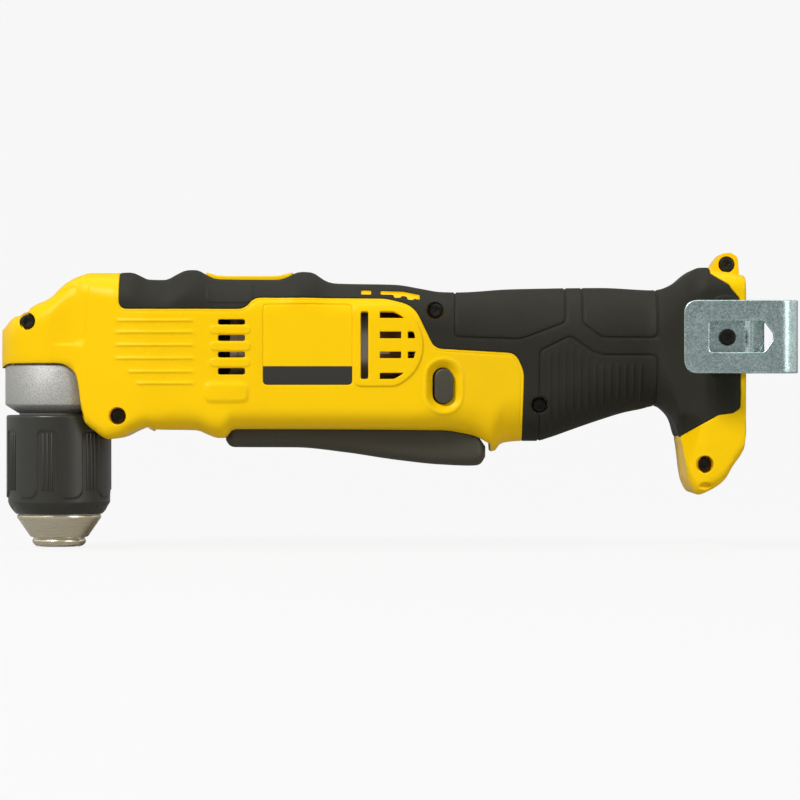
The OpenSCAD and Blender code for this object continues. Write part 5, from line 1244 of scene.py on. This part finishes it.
def shell(name, side, which, wall, data, look, slot, replaced, extra=()):
    """A piece from one kind of a side's surface, with a wall that runs inwards at the openings."""
    uv, tris, keep, kind, outer, n, my_cuts = data
    used, flat = np.unique(tris[keep & (kind == which)].ravel(), return_inverse=True)
    mine = [tuple(map(int, f)) for f in flat.reshape(-1, 3)]
    out = outer[used]
    inner = out - n[used] * wall
    inner[:, 0] = np.maximum(inner[:, 0], -TIP_R)
    inner[:, 1] = np.maximum(inner[:, 1], MIDDLE_Y)
    # The inner face stays out of the paddle's slot
    x, y, z = out.T
    beside = (x > SLOT_X[0]) & (x < SLOT_X[1]) & (y > SLOT_W - SLOT_NEAR) & (z < SLOT_TOP)
    inner[beside, 1] = np.maximum(inner[beside, 1], SLOT_W)
    faces, rim = thick(mine, len(out))
    on_rim = np.unique(np.array(rim).ravel())
    for cut in my_cuts:
        if cut.inward:
            at_cut = on_rim[line_distance(uv[used[on_rim]], cut.line) < ON_CUT]
            inner[at_cut] = cut.inward(out[at_cut])
    points = np.vstack([out, inner])
    if side < 0:
        points[:, 1] *= -1
    else:
        faces = [f[::-1] for f in faces]
    parts = Parts().add(points, faces)
    for more in extra:
        parts.add(*more)
    piece(name, parts.points, parts.faces, look, "body", slot, replaced, angle=38)


# Foot, lug and rim of the selector


LUG_LINE = rounded([
    (281.9, 116.5), (282.2, 118.9), (285.8, 124.8), (288, 127.2), (292, 127.7), (295.0, 125.6),
    (295.5, 119.2), (295.7, 116.5),
], [0, 1, 3, 2.5, 2.5, 2.5, 1, 0], steps=5)
LUG_W, LUG_SEAT, LUG_HOLE_R = 13, 10, 3.55


def lug_parts(side):
    """Half of the lug above the foot. Its left half has the screw's hole."""
    if side > 0:
        return [prism(LUG_LINE, [], 0, LUG_W, 0.7)]
    hole = ring(*LUG_SCREW, LUG_HOLE_R, 36)
    return [prism(LUG_LINE, [hole], -LUG_W, -LUG_SEAT, 0.5), prism(LUG_LINE, [], -LUG_SEAT, 0, 0)]


BEZEL_LINE = np.array([
    (64.6, 119.3), (66.5, 118.5), (69, 117.8), (74, 117.6), (94, 117.6), (98, 118.0),
    (100.5, 118.7), (102.2, 119.3),
])
BEZEL_W, BEZEL_LOW, BEZEL_EDGE, BEZEL_STEP = 11, 112.5, 0.7, 1.5
BEZEL_IN_W, BEZEL_IN_X, BEZEL_IN_ROW = 7.3, (69.6, 95.4), (94, 70)


def bezel_parts(side):
    """Half of the selector's raised rim, whose top follows the humps of the rubber."""
    xs = np.arange(BEZEL_LINE[0][0], BEZEL_LINE[-1][0], BEZEL_STEP)
    (left, right), inner = BEZEL_IN_X, BEZEL_IN_W * side
    outline = np.vstack([
        [(xs[0], 0)], [(x, BEZEL_W * side) for x in xs], [(xs[-1], 0), (right, 0), (right, inner)],
        [(x, inner) for x in np.arange(*BEZEL_IN_ROW, -BEZEL_STEP)], [(left, inner), (left, 0)],
    ])
    points, faces = prism(outline, [], BEZEL_LOW, HEIGHT, 0, axis="Z")
    points = [(x, y, z if z == BEZEL_LOW else np.interp(x, *BEZEL_LINE.T)) for x, y, z in points]
    return [beveled(points, faces, BEZEL_EDGE)]


# The rear face is a little smaller than the foot, drawn in towards a height
FACE_SHARE, FACE_MIDDLE, FACE_X = 0.985, 80, (REAR - 2.35, REAR - 0.35)
ROOF_X, ROOF_T = (BAY_X - 1, REAR - 0.4), 1.5
RAIL_X, RAIL_Y, RAIL_LOW, RAIL_EDGE = (288.9, 292.4), (BAY_W - 4.5, BAY_W + 0.3), 46.1, 0.5


def foot_parts(side):
    """Rear face round the battery bay, its roof and its rail."""
    i = len(STATIONS) - 1
    ys, zs = (np.concatenate([t[0, i, ::-1], t[1, i, 1:]]) for t in (SIDE_Y, SIDE_Z))
    last = np.nonzero((ys >= BAY_W) | (zs >= FACE_MIDDLE))[0][-1]
    outline = [
        (side * y * FACE_SHARE, FACE_MIDDLE + (z - FACE_MIDDLE) * FACE_SHARE)
        for y, z in zip(ys[: last + 1], zs[: last + 1])
    ]
    wide = side * BAY_W
    outline += [(wide, zs[last]), (wide, BAY_TOP), (0, BAY_TOP)]
    face = prism(outline, [], *FACE_X, 0, axis="X")
    (x0, x1), (y0, y1) = ROOF_X, sorted(side * y for y in RAIL_Y)
    corners = [(x0, 0), (x1, 0), (x1, wide), (x0, wide)]
    roof = prism(corners, [], BAY_TOP, BAY_TOP + ROOF_T, 0, axis="Z")
    rail = boxed((RAIL_X[0], y0, RAIL_LOW), (RAIL_X[1], y1, BAY_TOP), RAIL_EDGE)
    return [face, roof, rail]


SEATS = [(x, SCREW_RECESS - seat_depth(x), z) for x, z in SCREWS]
SEAT_R, SEAT_HOLE_R, SEAT_T = SCREW_MOUTH + 0.3, 1.9, 1.2


def seat_parts(side):
    """Floors of the screw holes, which only the left side has."""
    return [
        prism(ring(x, z, SEAT_R), [ring(x, z, SEAT_HOLE_R)], y, y + SEAT_T, 0)
        for x, y, z in (SEATS if side < 0 else [])
    ]


SHELL_WALL, GRIP_WALL, LABEL_WALL = 2.4, 1.3, 0.5
for side, word in ((-1, "left"), (1, "right")):
    data = body_mesh(side)
    extra = foot_parts(side) + lug_parts(side) + bezel_parts(side) + seat_parts(side)
    shell(f"shell_{word}", side, 0, SHELL_WALL, data, yellow, "yellow_shell", [f"housing_{word}"], extra)
    shell(f"overmould_{word}", side, 1, GRIP_WALL, data, rubber, "grip_rubber", [f"grip_{word}"])
    shell(f"label_film_{word}", side, 2, LABEL_WALL, data, label_look, "label", [f"label_{word}"])

# Paddle trigger

PADDLE_LOW = at(
    (0.3055, 0.366), (0.309, 0.348), (0.3165, 0.339), (0.4, 0.338), (0.467, 0.321), (0.534, 0.296),
    (0.594, 0.28), (0.634, 0.276), (0.645, 0.278), (0.6515, 0.292), (0.6545, 0.31),
)
PADDLE_HIGH = at(
    (0.3055, 0.376), (0.311, 0.395), (0.318, 0.408), (0.627, 0.408), (0.645, 0.375), (0.6545, 0.34),
)
PADDLE_W, PADDLE_WALL, PADDLE_SOFT = 17, 2.2, 0.5
PADDLE_END_R, PADDLE_LOW_R, PADDLE_EDGE_R = 4.5, 5.2, 0.5
PADDLE_FINE, PADDLE_STEP = 6, 1.5
TRAY_START, TRAY_RUN = 3, 2.5


def end_loss(d):
    """How much narrower the paddle is at a distance from its end."""
    t = 1 - min(1, d / PADDLE_END_R)
    return PADDLE_END_R * (1 - math.sqrt(max(0, 1 - t**2)))


def paddle_parts():
    """The paddle as a tray, open inside the body where its spring stands."""
    low_line, high_line = flowing(PADDLE_LOW, PADDLE_SOFT), flowing(PADDLE_HIGH, PADDLE_SOFT)
    x0, x1 = PADDLE_LOW[0][0], PADDLE_LOW[-1][0]
    ends = PADDLE_FINE * (1 - np.cos(np.linspace(0, math.pi / 2, 14)))
    middle = np.arange(x0 + (PADDLE_FINE + PADDLE_STEP), x1 - (PADDLE_FINE + 1), PADDLE_STEP)
    a = np.linspace(0, math.pi / 2, 12)
    rings = []
    for x in np.concatenate([x0 + ends, middle, (x1 - ends)[::-1]]):
        low, high = np.interp(x, *low_line), np.interp(x, *high_line)
        half = PADDLE_W - end_loss(x - x0) - end_loss(x1 - x)
        r, edge = min(PADDLE_LOW_R, (high - low) * 0.45), PADDLE_EDGE_R
        share = np.clip((min(x - x0, x1 - x) - TRAY_START) / TRAY_RUN, 0, 1)
        depth = max(0.02, (high - low - PADDLE_WALL) * share)
        inner, soft = half - PADDLE_WALL, min(1.0, depth / 2)
        right = np.vstack([
            np.column_stack([half - r + r * np.sin(a), low + r - r * np.cos(a)]),
            np.column_stack([half - edge + edge * np.cos(a[::3]), high - edge + edge * np.sin(a[::3])]),
            [(inner, high), (inner, high - depth + soft), (inner - soft, high - depth)],
        ])
        whole = np.vstack([right, right[::-1] * (-1, 1)])
        rings.append(np.column_stack([np.full(len(whole), x), whole]))
    return loft(rings)


piece("paddle", *paddle_parts(), paddle_look, "trigger", "black_plastic", ["paddle_trigger"], angle=50)

# Return spring, which the pressed paddle shortens

SPRING_X, SPRING_TOP, SPRING_R, SPRING_WIRE, SPRING_TURNS = 160.69, 58.2, 3.4, 0.45, 6
spring_floor = float(np.interp(SPRING_X, *flowing(PADDLE_LOW, PADDLE_SOFT))) + PADDLE_WALL
spring_low = spring_floor + 2 * SPRING_WIRE
spring_mesh = spread(
    COIL_TREE, [(SPRING_X, 0, spring_low)], [(0, 0, 0)], Look=bearing.mat, Turns=float(SPRING_TURNS),
    Radius=(SPRING_R - SPRING_WIRE) * MM, Wire=SPRING_WIRE * MM,
    Height=(SPRING_TOP - 2 * SPRING_WIRE - spring_low) * MM,
)
spring = finished("spring", spring_mesh, bearing, "body", ["trigger_spring"], 60)
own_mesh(spring)

# Direction button

BUTTON_HALF = 29.32
# Steps of the rounded rim at its ends: how far in across the face and along the button
BUTTON_EDGE = ((0.8, 0), (0.35, 0.1), (0.1, 0.35), (0, 0.8))
STOP_LOW, STOP_HIGH, STOP_Y, STOP_T = (161.4, 60.2), (171.6, 79.3), (-15, 13), 2


def button_parts():
    """The button through the body, with two plates that keep it in."""
    outline = obround(0, 0, *BUTTON_SIZE, 24)[::-1]
    levels = [(-BUTTON_HALF + along, across) for across, along in BUTTON_EDGE]
    levels += [(-y, across) for y, across in reversed(levels)]
    rings = []
    for y, across in levels:
        x, z = (outline * (1 - 2 * across / np.array(BUTTON_SIZE)) + BUTTON).T
        rings.append(np.column_stack([x, np.full(len(x), y), z]))
    parts = Parts().add(*loft(rings))
    for y in STOP_Y:
        parts.add(*boxed((STOP_LOW[0], y, STOP_LOW[1]), (STOP_HIGH[0], y + STOP_T, STOP_HIGH[1]), 0.3, 1))
    return parts.points, parts.faces


piece("button", *button_parts(), paddle_look, "direction", "black_plastic", ["direction_button"])

# Chuck

SLEEVE_R, GROUPS, GROUP_START = 22.9, 7, math.radians(-98.4)
GROUP_TURN = 2 * math.pi / GROUPS
CHANGE_Z = (16, 53)
TONGUE_HALF, TONGUE_R, TONGUE_TOP = 4.7, 2.6, 50.6
PANEL_HALF, PANEL_R, PANEL_FOOT = GROUP_TURN * SLEEVE_R / 2 - TONGUE_HALF, 4.0, 21.4
# Depth of the sunk areas, half the width of their edges, and where the band below starts
SUNK, SUNK_EDGE, BAND_LOW, BAND_RUN = 0.7, 0.2, 16.5, 2.5


def sleeve_change(a, z):
    """Radius change of the sleeve: sunk tongues between raised panels."""
    if not CHANGE_Z[0] <= z <= CHANGE_Z[1]:
        return 0 * a
    s = np.abs(((a - GROUP_START + GROUP_TURN / 2) % GROUP_TURN - GROUP_TURN / 2) * SLEEVE_R)
    # Distances outside the tongues, which rise to arches, and outside the panels between them
    arch = max(z - (TONGUE_TOP - TONGUE_R), 0)
    tongue = np.hypot(np.maximum(s - (TONGUE_HALF - TONGUE_R), 0), arch) - TONGUE_R
    panel_s = np.abs(s - GROUP_TURN * SLEEVE_R / 2)
    foot = max((PANEL_FOOT + PANEL_R) - z, 0)
    panel = np.hypot(np.maximum(panel_s - (PANEL_HALF - PANEL_R), 0), foot) - PANEL_R
    band = np.clip((panel + SUNK_EDGE) / (2 * SUNK_EDGE), 0, 1)
    sunk = band * np.clip((SUNK_EDGE - tongue) / (2 * SUNK_EDGE), 0, 1)
    depth = -SUNK * sunk * sunk * (3 - 2 * sunk)
    if z < PANEL_FOOT + PANEL_R + SUNK_EDGE:
        blend = np.clip((z - BAND_LOW) / BAND_RUN, 0, 1)
        depth = np.minimum(depth, -SUNK * band * band * (3 - 2 * band) * blend)
    return depth


sleeve_rows = np.concatenate([np.arange(55.8, 21.9, -0.55), np.arange(21.8, 19.4, -0.3)])
sleeve_profile = [
    (20.6, 57.0), (21.6, 57.3), (22.3, 57.25), (22.75, 56.95), (SLEEVE_R, 56.4),
    *((SLEEVE_R, z) for z in sleeve_rows),
    (22.8, 19.2), (22.5, 18.6), (21.9, 17.8), (20.3, 15.9), (19.4, 14.9), (19.0, 14.5), (18.6, 14.2),
    (18.0, 14.2), (17.8, 14.8), (17.8, 56.4),
]
sleeve_mesh = plain_mesh("sleeve", *lathe(sleeve_profile, GROUPS * 78, sleeve_change))
RIB_R, RIB_Z, RIB_GAP = 22.12, 37.05, 2.0
rib_turns = [
    GROUP_START + 2 * math.pi * g / GROUPS + k * RIB_GAP / SLEEVE_R
    for g in range(GROUPS) for k in (-1, 0, 1)
]
rib_places = [(RIB_R * math.cos(a), RIB_R * math.sin(a), RIB_Z) for a in rib_turns]
rib_mesh = ribs(25.1, 1.05, 0.6, rib_places, [(0, 0, a) for a in rib_turns], sleeve_look)
sleeve_mesh = joined("sleeve", sleeve_mesh, rib_mesh)
finished("sleeve", sleeve_mesh, sleeve_look, "chuck_sleeve", ["chuck_sleeve"], 60)

nose_profile = [
    (17.3, 22), (17.3, 13.9), (17.9, 13.85), (18.2, 13.65), (18.3, 13.3), (18.25, 12.6), (18.0, 12.2),
    (12.75, 4.6), (12.5, 4.3), (12.0, 4.15), (11.5, 4.1), (11.2, 3.9), (11.15, 3.6), (11.3, 3.3),
    (11.55, 3.0), (11.7, 2.6), (11.7, 2.2), (11.5, 1.7), (11.1, 1.1), (10.5, 0.6), (9.8, 0.25),
    (9.0, 0.08), (8.0, 0.02), (6.4, 0.02), (5.8, 0.1), (5.4, 0.4), (5.2, 0.9), (5.2, 25),
]
piece("chuck_nose", *lathe(nose_profile, 240), nickel, "spindle", "chuck_steel", ["chuck_body"], angle=35)

collar_profile = [
    (9.4, 62.5), (9.4, 58.25), (15.7, 58.2), (15.7, 57.05), (17.3, 57.05), (17.4, 58.15), (18.2, 58.3),
    (18.5, 58.6), (22.8, 61.3), (23.15, 61.6), (23.35, 61.9), (23.4, 62.3), (23.4, 78.4), (23.0, 79.0),
    (19.5, 79.0),
]
# Inside the head: the case round the bevel gear and the barrel round the planets, along X
case_profile = [
    (17.6, 78.9), (19.9, 78.9), (19.9, 92), (8.6, 92), (8.6, 99.5), (6.4, 99.5), (6.4, 90), (17.6, 90),
]
barrel_profile, BARREL_Z = [(20.6, 13), (23.45, 13), (23.45, 59.6), (20.6, 59.6)], 87
collar = Parts().add(*lathe(collar_profile, 180)).add(*lathe(case_profile, 96))
barrel, barrel_faces = lathe(barrel_profile, 120)
collar.add([(z, -y, BARREL_Z + x) for x, y, z in barrel], barrel_faces)
piece("collar", collar.points, collar.faces, cast, "body", "cast_case", ["gear_case"], angle=35)

# Belt hook

HOOK_T, HOOK_Z, HOOK_W = 2.0, 90.62, 31.0
FOLD, FOLD_R = (309.78, -44.5), 7.0
HOOK_TIP, HOOK_STEP, HOOK_HEEL, HOOK_BEND = 268.9, (299.4, 296.3), 280.5, 2.2
# Openings along and across the flat strip; the screw's hole is counted from the heel
HOOK_WINDOW = [(10.8, -6.6), (33.8, -6.6), (37.7, -1.2), (37.7, 1.2), (33.8, 6.6), (10.8, 6.6)]
HOOK_SLOT = [(59.5, -6.6), (68.5, -6.6), (68.5, 6.6), (59.5, 6.6)]
STRIP_HOLE, STRIP_HOLE_R = 8.0, 2.25
HOOK_EDGE, HOOK_ROWS, HOOK_BIT = 0.45, (0.06, 0.2, 0.45, 0.9), 0.3


def hook_path():
    """Middle line of the hook's strip seen from above: outer leg, fold, step, screwed foot."""
    seat = -FOOT_W - HOOK_T / 2
    (x, y), r = FOLD, FOLD_R
    inner = [(x, y + r), (HOOK_STEP[0], y + r), (HOOK_STEP[1], seat), (HOOK_HEEL, seat)]
    return np.vstack([
        [(HOOK_TIP, y - r), (x, y - r)],
        [(x + r * math.sin(a), y - r * math.cos(a)) for a in np.linspace(0.08, math.pi, 26)],
        rounded(inner, HOOK_BEND, closed=False, steps=6)[1:],
    ])


def hook_parts():
    """The strip with its openings, laid along its path."""
    path = hook_path()
    along = np.concatenate([[0], np.cumsum(np.hypot(*np.diff(path, axis=0).T))])
    total, half = along[-1], HOOK_W / 2
    corners = [(0, -half), (total, -half), (total, half), (0, half)]
    outline = looped(rounded(corners, [6, 1.5, 1.5, 6], steps=10), 0.9)
    window = looped(rounded(HOOK_WINDOW, [1.6, 2, 1, 1, 2, 1.6], steps=5), 0.7)
    slot = looped(rounded(HOOK_SLOT, 1.2), 0.7)
    loops = [outline, window, slot, ring(total - STRIP_HOLE, 0, STRIP_HOLE_R, 24)]
    more = []
    for loop in loops:
        area = sum(a[0] * b[1] - b[0] * a[1] for a, b in zip(loop, np.roll(loop, -1, axis=0)))
        way = math.copysign(1, area) * (1 if loop is outline else -1)
        for row in rows_of(loop, [way * d for d in HOOK_ROWS], True):
            more.extend([tuple(p) for p in row])
    for s in np.arange(1.5, total - 1, 0.8):
        more.extend([(s, z) for z in np.arange(-half + 1.3, half - 1, 1.6)])
    flat, tris = plate(loops, more)
    faces, _ = thick(tris, len(flat))
    drop = fillet(np.minimum.reduce([line_distance(flat, closed(loop)) for loop in loops]), HOOK_EDGE)

    def on_path(s):
        return np.array([np.interp(s, along, path[:, k]) for k in (0, 1)])

    s, z = flat.T
    px, py = on_path(s)
    tx, ty = on_path(s + HOOK_BIT) - on_path(s - HOOK_BIT)
    size = np.maximum(np.hypot(tx, ty), 1e-9)
    nx, ny = ty / size, -tx / size
    both = []
    for sign in (1, -1):
        off = sign * (HOOK_T / 2 - drop)
        both.append(np.column_stack([px + nx * off, py + ny * off, HOOK_Z + z]))
    return np.vstack(both), faces


piece("hook", *hook_parts(), zinc, "body", "zinc_steel", ["belt_hook"], angle=50)

# Screws with a six-lobed drive


DRIVE_R, DRIVE_LOBE, LOBES = 1.55, 0.28, 6


def screw_parts(head_r, head_h, shank_r, length):
    """A screw along +Y whose head's face looks to -Y and whose seat lies at Y = 0."""
    a = np.arange(48) * 2 * math.pi / 48
    lobe, face = DRIVE_R + DRIVE_LOBE * np.cos(LOBES * a), -head_h
    rows = [
        (lobe * 0.8, face + 1.5), (lobe, face + 1.4), (lobe, face + 0.1), (lobe + 0.12, face),
        (head_r - 0.5, face), (head_r - 0.12, face + 0.14), (head_r, face + 0.5), (head_r, 0),
        (shank_r, 0), (shank_r, length),
    ]
    return loft([np.column_stack([r * np.cos(a), np.full(len(a), y), r * np.sin(a)]) for r, y in rows])


places = [*SEATS, (LUG_SCREW[0], -LUG_SEAT, LUG_SCREW[1])]
turns = [(0, 0.35 * k, 0) for k in range(len(places))]
body_screw = screw_parts(head_r=3.1, head_h=2.6, shank_r=1.75, length=12)
mesh = repeated(*body_screw, places, turns, screw_look)
finished("body_screws", mesh, screw_look, "body", ["housing_screws"], 35)
bolt = screw_parts(head_r=3.6, head_h=2.2, shank_r=1.9, length=6)
bolt_place = (HOOK_SCREW[0], -FOOT_W - HOOK_T, HOOK_SCREW[1])
mesh = repeated(*bolt, [bolt_place], [(0, 0.2, 0)], screw_look)
finished("hook_bolt", mesh, screw_look, "body", ["hook_screw"], 35)

# Speed selector: its slide, the tongue below it and the ribs on top

SELECTOR_RIBS, SELECTOR_RIB_X, SELECTOR_RIB_STEP, SELECTOR_RIB_Z = 6, 73.6, 2.5, 116.5
selector = Parts().add(*boxed((70.83, -7, 113.5), (88.83, 7, 116.6), 0.8))
selector.add(*boxed((73.9, -3, 112), (85.8, 3, 115), 0.4))
rib_places = [
    (SELECTOR_RIB_X + SELECTOR_RIB_STEP * k, 0, SELECTOR_RIB_Z) for k in range(SELECTOR_RIBS)
]
across = [(math.pi / 2, math.pi / 2, 0)] * SELECTOR_RIBS
rib_mesh = ribs(11.2, 1.1, 0.75, rib_places, across, black)
selector_mesh = joined("selector", plain_mesh("slide", selector.points, selector.faces), rib_mesh)
finished("selector_slide", selector_mesh, black, "selector", ["speed_selector"])

# Inner pieces keep their CAD meshes

LOOKS = {
    "gear_case_cover": cast, "case_screws": screw_look, "first_ring_gear": steel,
    "sliding_ring_gear": steel, "shift_bracket": zinc, "motor_can": can_look,
    "motor_magnets": magnet, "brush_card": phenolic, "brush_holders": tinned,
    "carbon_brushes": carbon, "motor_bearings": bearing, "motor_shaft": steel,
    "motor_pinion": steel, "motor_fan": black, "armature_core": steel, "armature_windings": copper,
    "commutator": copper, "first_carrier": steel, "second_carrier": steel, "bevel_pinion": steel,
    "pinion_bearing": bearing, "bevel_gear": steel, "spindle": bright, "spindle_bearings": bearing,
    "chuck_nut": steel, "chuck_screw": screw_look, "trigger_pin": bearing, "switch_body": black,
    "switch_plunger": black, "led_lens": lens, "terminal_block": black, "terminal_blades": brass,
    "battery_leads": red, "motor_leads": dark_lead, "hook_inserts": brass,
}
for k in (1, 2, 3):
    LOOKS[f"first_planet_{k}"] = LOOKS[f"second_planet_{k}"] = steel
    LOOKS[f"chuck_jaw_{k}"] = bright
for name, look in LOOKS.items():
    mesh = nodes[name].data
    mesh.materials.clear()
    mesh.materials.append(look.mat)
    smooth_mesh(mesh, 30)

# Studio

floor_look = Look("pale_floor", (0.5, 0.5, 0.495), 0.75, mottle=(400, 0.05), specular_ior_level=0.2)
WHITE_SHARE = 0.88


def rays(tree, *kinds):
    """1 for rays of these kinds, 0 for the others."""
    path = add_node(tree, "ShaderNodeLightPath")
    share = Val(tree, path.outputs[f"Is {kinds[0]} Ray"])
    for kind in kinds[1:]:
        share = share + Val(tree, path.outputs[f"Is {kind} Ray"])
    return share.math("MINIMUM", share, 1)


def whiten(look, share):
    """Makes a share of what the camera sees of a surface plain white; the light it gives stays."""
    white = look.node("Emission", {}, {"Color": (1, 1, 1, 1), "Strength": 1})
    seen = share * rays(look.tree, "Camera", "Transmission")
    mix = look.node("MixShader", {}, {0: seen, 1: look.surface.outputs[0], 2: white.outputs[0]})
    look.tree.links.new(mix.outputs[0], look.tree.nodes["Material Output"].inputs["Surface"])


whiten(floor_look, WHITE_SHARE)


# The floor's front edge, where it bends up, the bend's radius, the wall's top and the sides
FLOOR_FRONT, FLOOR_BEND, BEND_R, WALL_TOP, FLOOR_X = -3.5, 0.5, 2, 5.0, (-1.6, 1.9)
FLOOR_DROP = 0.0008


def backdrop():
    """A floor that sweeps up into a wall behind the tool."""
    path = [(FLOOR_FRONT, 0.0), (FLOOR_BEND, 0.0)]
    for a in np.linspace(0.03, math.pi / 2, 40):
        path.append((FLOOR_BEND + BEND_R * math.sin(a), BEND_R - BEND_R * math.cos(a)))
    path.append((FLOOR_BEND + BEND_R, WALL_TOP))
    points = [(x, y, z - FLOOR_DROP) for y, z in path for x in FLOOR_X]
    faces = [(2 * i, 2 * i + 1, 2 * i + 3, 2 * i + 2) for i in range(len(path) - 1)]
    mesh = bpy.data.meshes.new("backdrop")
    mesh.from_pydata(points, [], faces)
    smooth_mesh(mesh, 60)
    mesh.materials.append(floor_look.mat)
    obj = bpy.data.objects.new("backdrop", mesh)
    bpy.context.scene.collection.objects.link(obj)
    return obj


def area_light(name, place, aim, size, watts):
    """A rectangular light that looks at a place."""
    light = bpy.data.lights.new(name, "AREA")
    light.shape = "RECTANGLE"
    light.size, light.size_y = size
    light.energy = watts
    obj = bpy.data.objects.new(name, light)
    obj.location = place
    obj.rotation_euler = (Vector(aim) - Vector(place)).to_track_quat("-Z", "Y").to_euler()
    bpy.context.scene.collection.objects.link(obj)
    return obj


lights = [
    area_light("key", (-1.2, -1.9, 2.0), (0.12, 0, 0.07), (0.8, 0.8), 70),
    area_light("fill", (2.1, -1.9, 0.9), (0.18, 0, 0.06), (1.0, 1.6), 18),
    area_light("top", (0.15, 0.0, 2.0), (0.15, 0, 0.05), (2.2, 1.2), 8),
    area_light("wall", (0.15, 0.4, 2.6), (0.15, 2.2, 0.5), (3.0, 0.8), 14),
]
world = bpy.data.worlds.new("studio")
world.use_nodes = True
WORLD_LIGHT, WORLD_SEEN, DARK_SIDE = 0.15, 0.95, 0.8
tree = world.node_tree
ray = add_node(tree, "ShaderNodeTexCoord").outputs["Generated"]
toward = Val(tree, add_node(tree, "ShaderNodeSeparateXYZ", {}, {0: ray}).outputs["Y"])
# Reflections find the camera's side of the studio dark
dark = rays(tree, "Glossy") * (0 - toward).over(0.6, 0.95) * DARK_SIDE
seen = rays(tree, "Camera", "Glossy", "Transmission")
sky = seen * (WORLD_SEEN - WORLD_LIGHT) * (1 - dark) + WORLD_LIGHT
background = tree.nodes["Background"].inputs
tree.links.new(sky.socket, background["Strength"])
background["Color"].default_value = (1, 1, 1, 1)
scene = bpy.context.scene
scene.world = world

CAMERA_PLACE, LENS, SENSOR = (0.1487, -1.7, 0.0638), 175.3, 36
camera = bpy.data.cameras.new("camera")
camera.lens, camera.sensor_width = LENS, SENSOR
camera_obj = bpy.data.objects.new("camera", camera)
camera_obj.location = CAMERA_PLACE
camera_obj.rotation_euler = (math.pi / 2, 0, 0)
scene.collection.objects.link(camera_obj)
scene.camera = camera_obj
scene.view_settings.view_transform = "Standard"
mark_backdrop(backdrop(), *lights, camera_obj)

low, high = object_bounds()
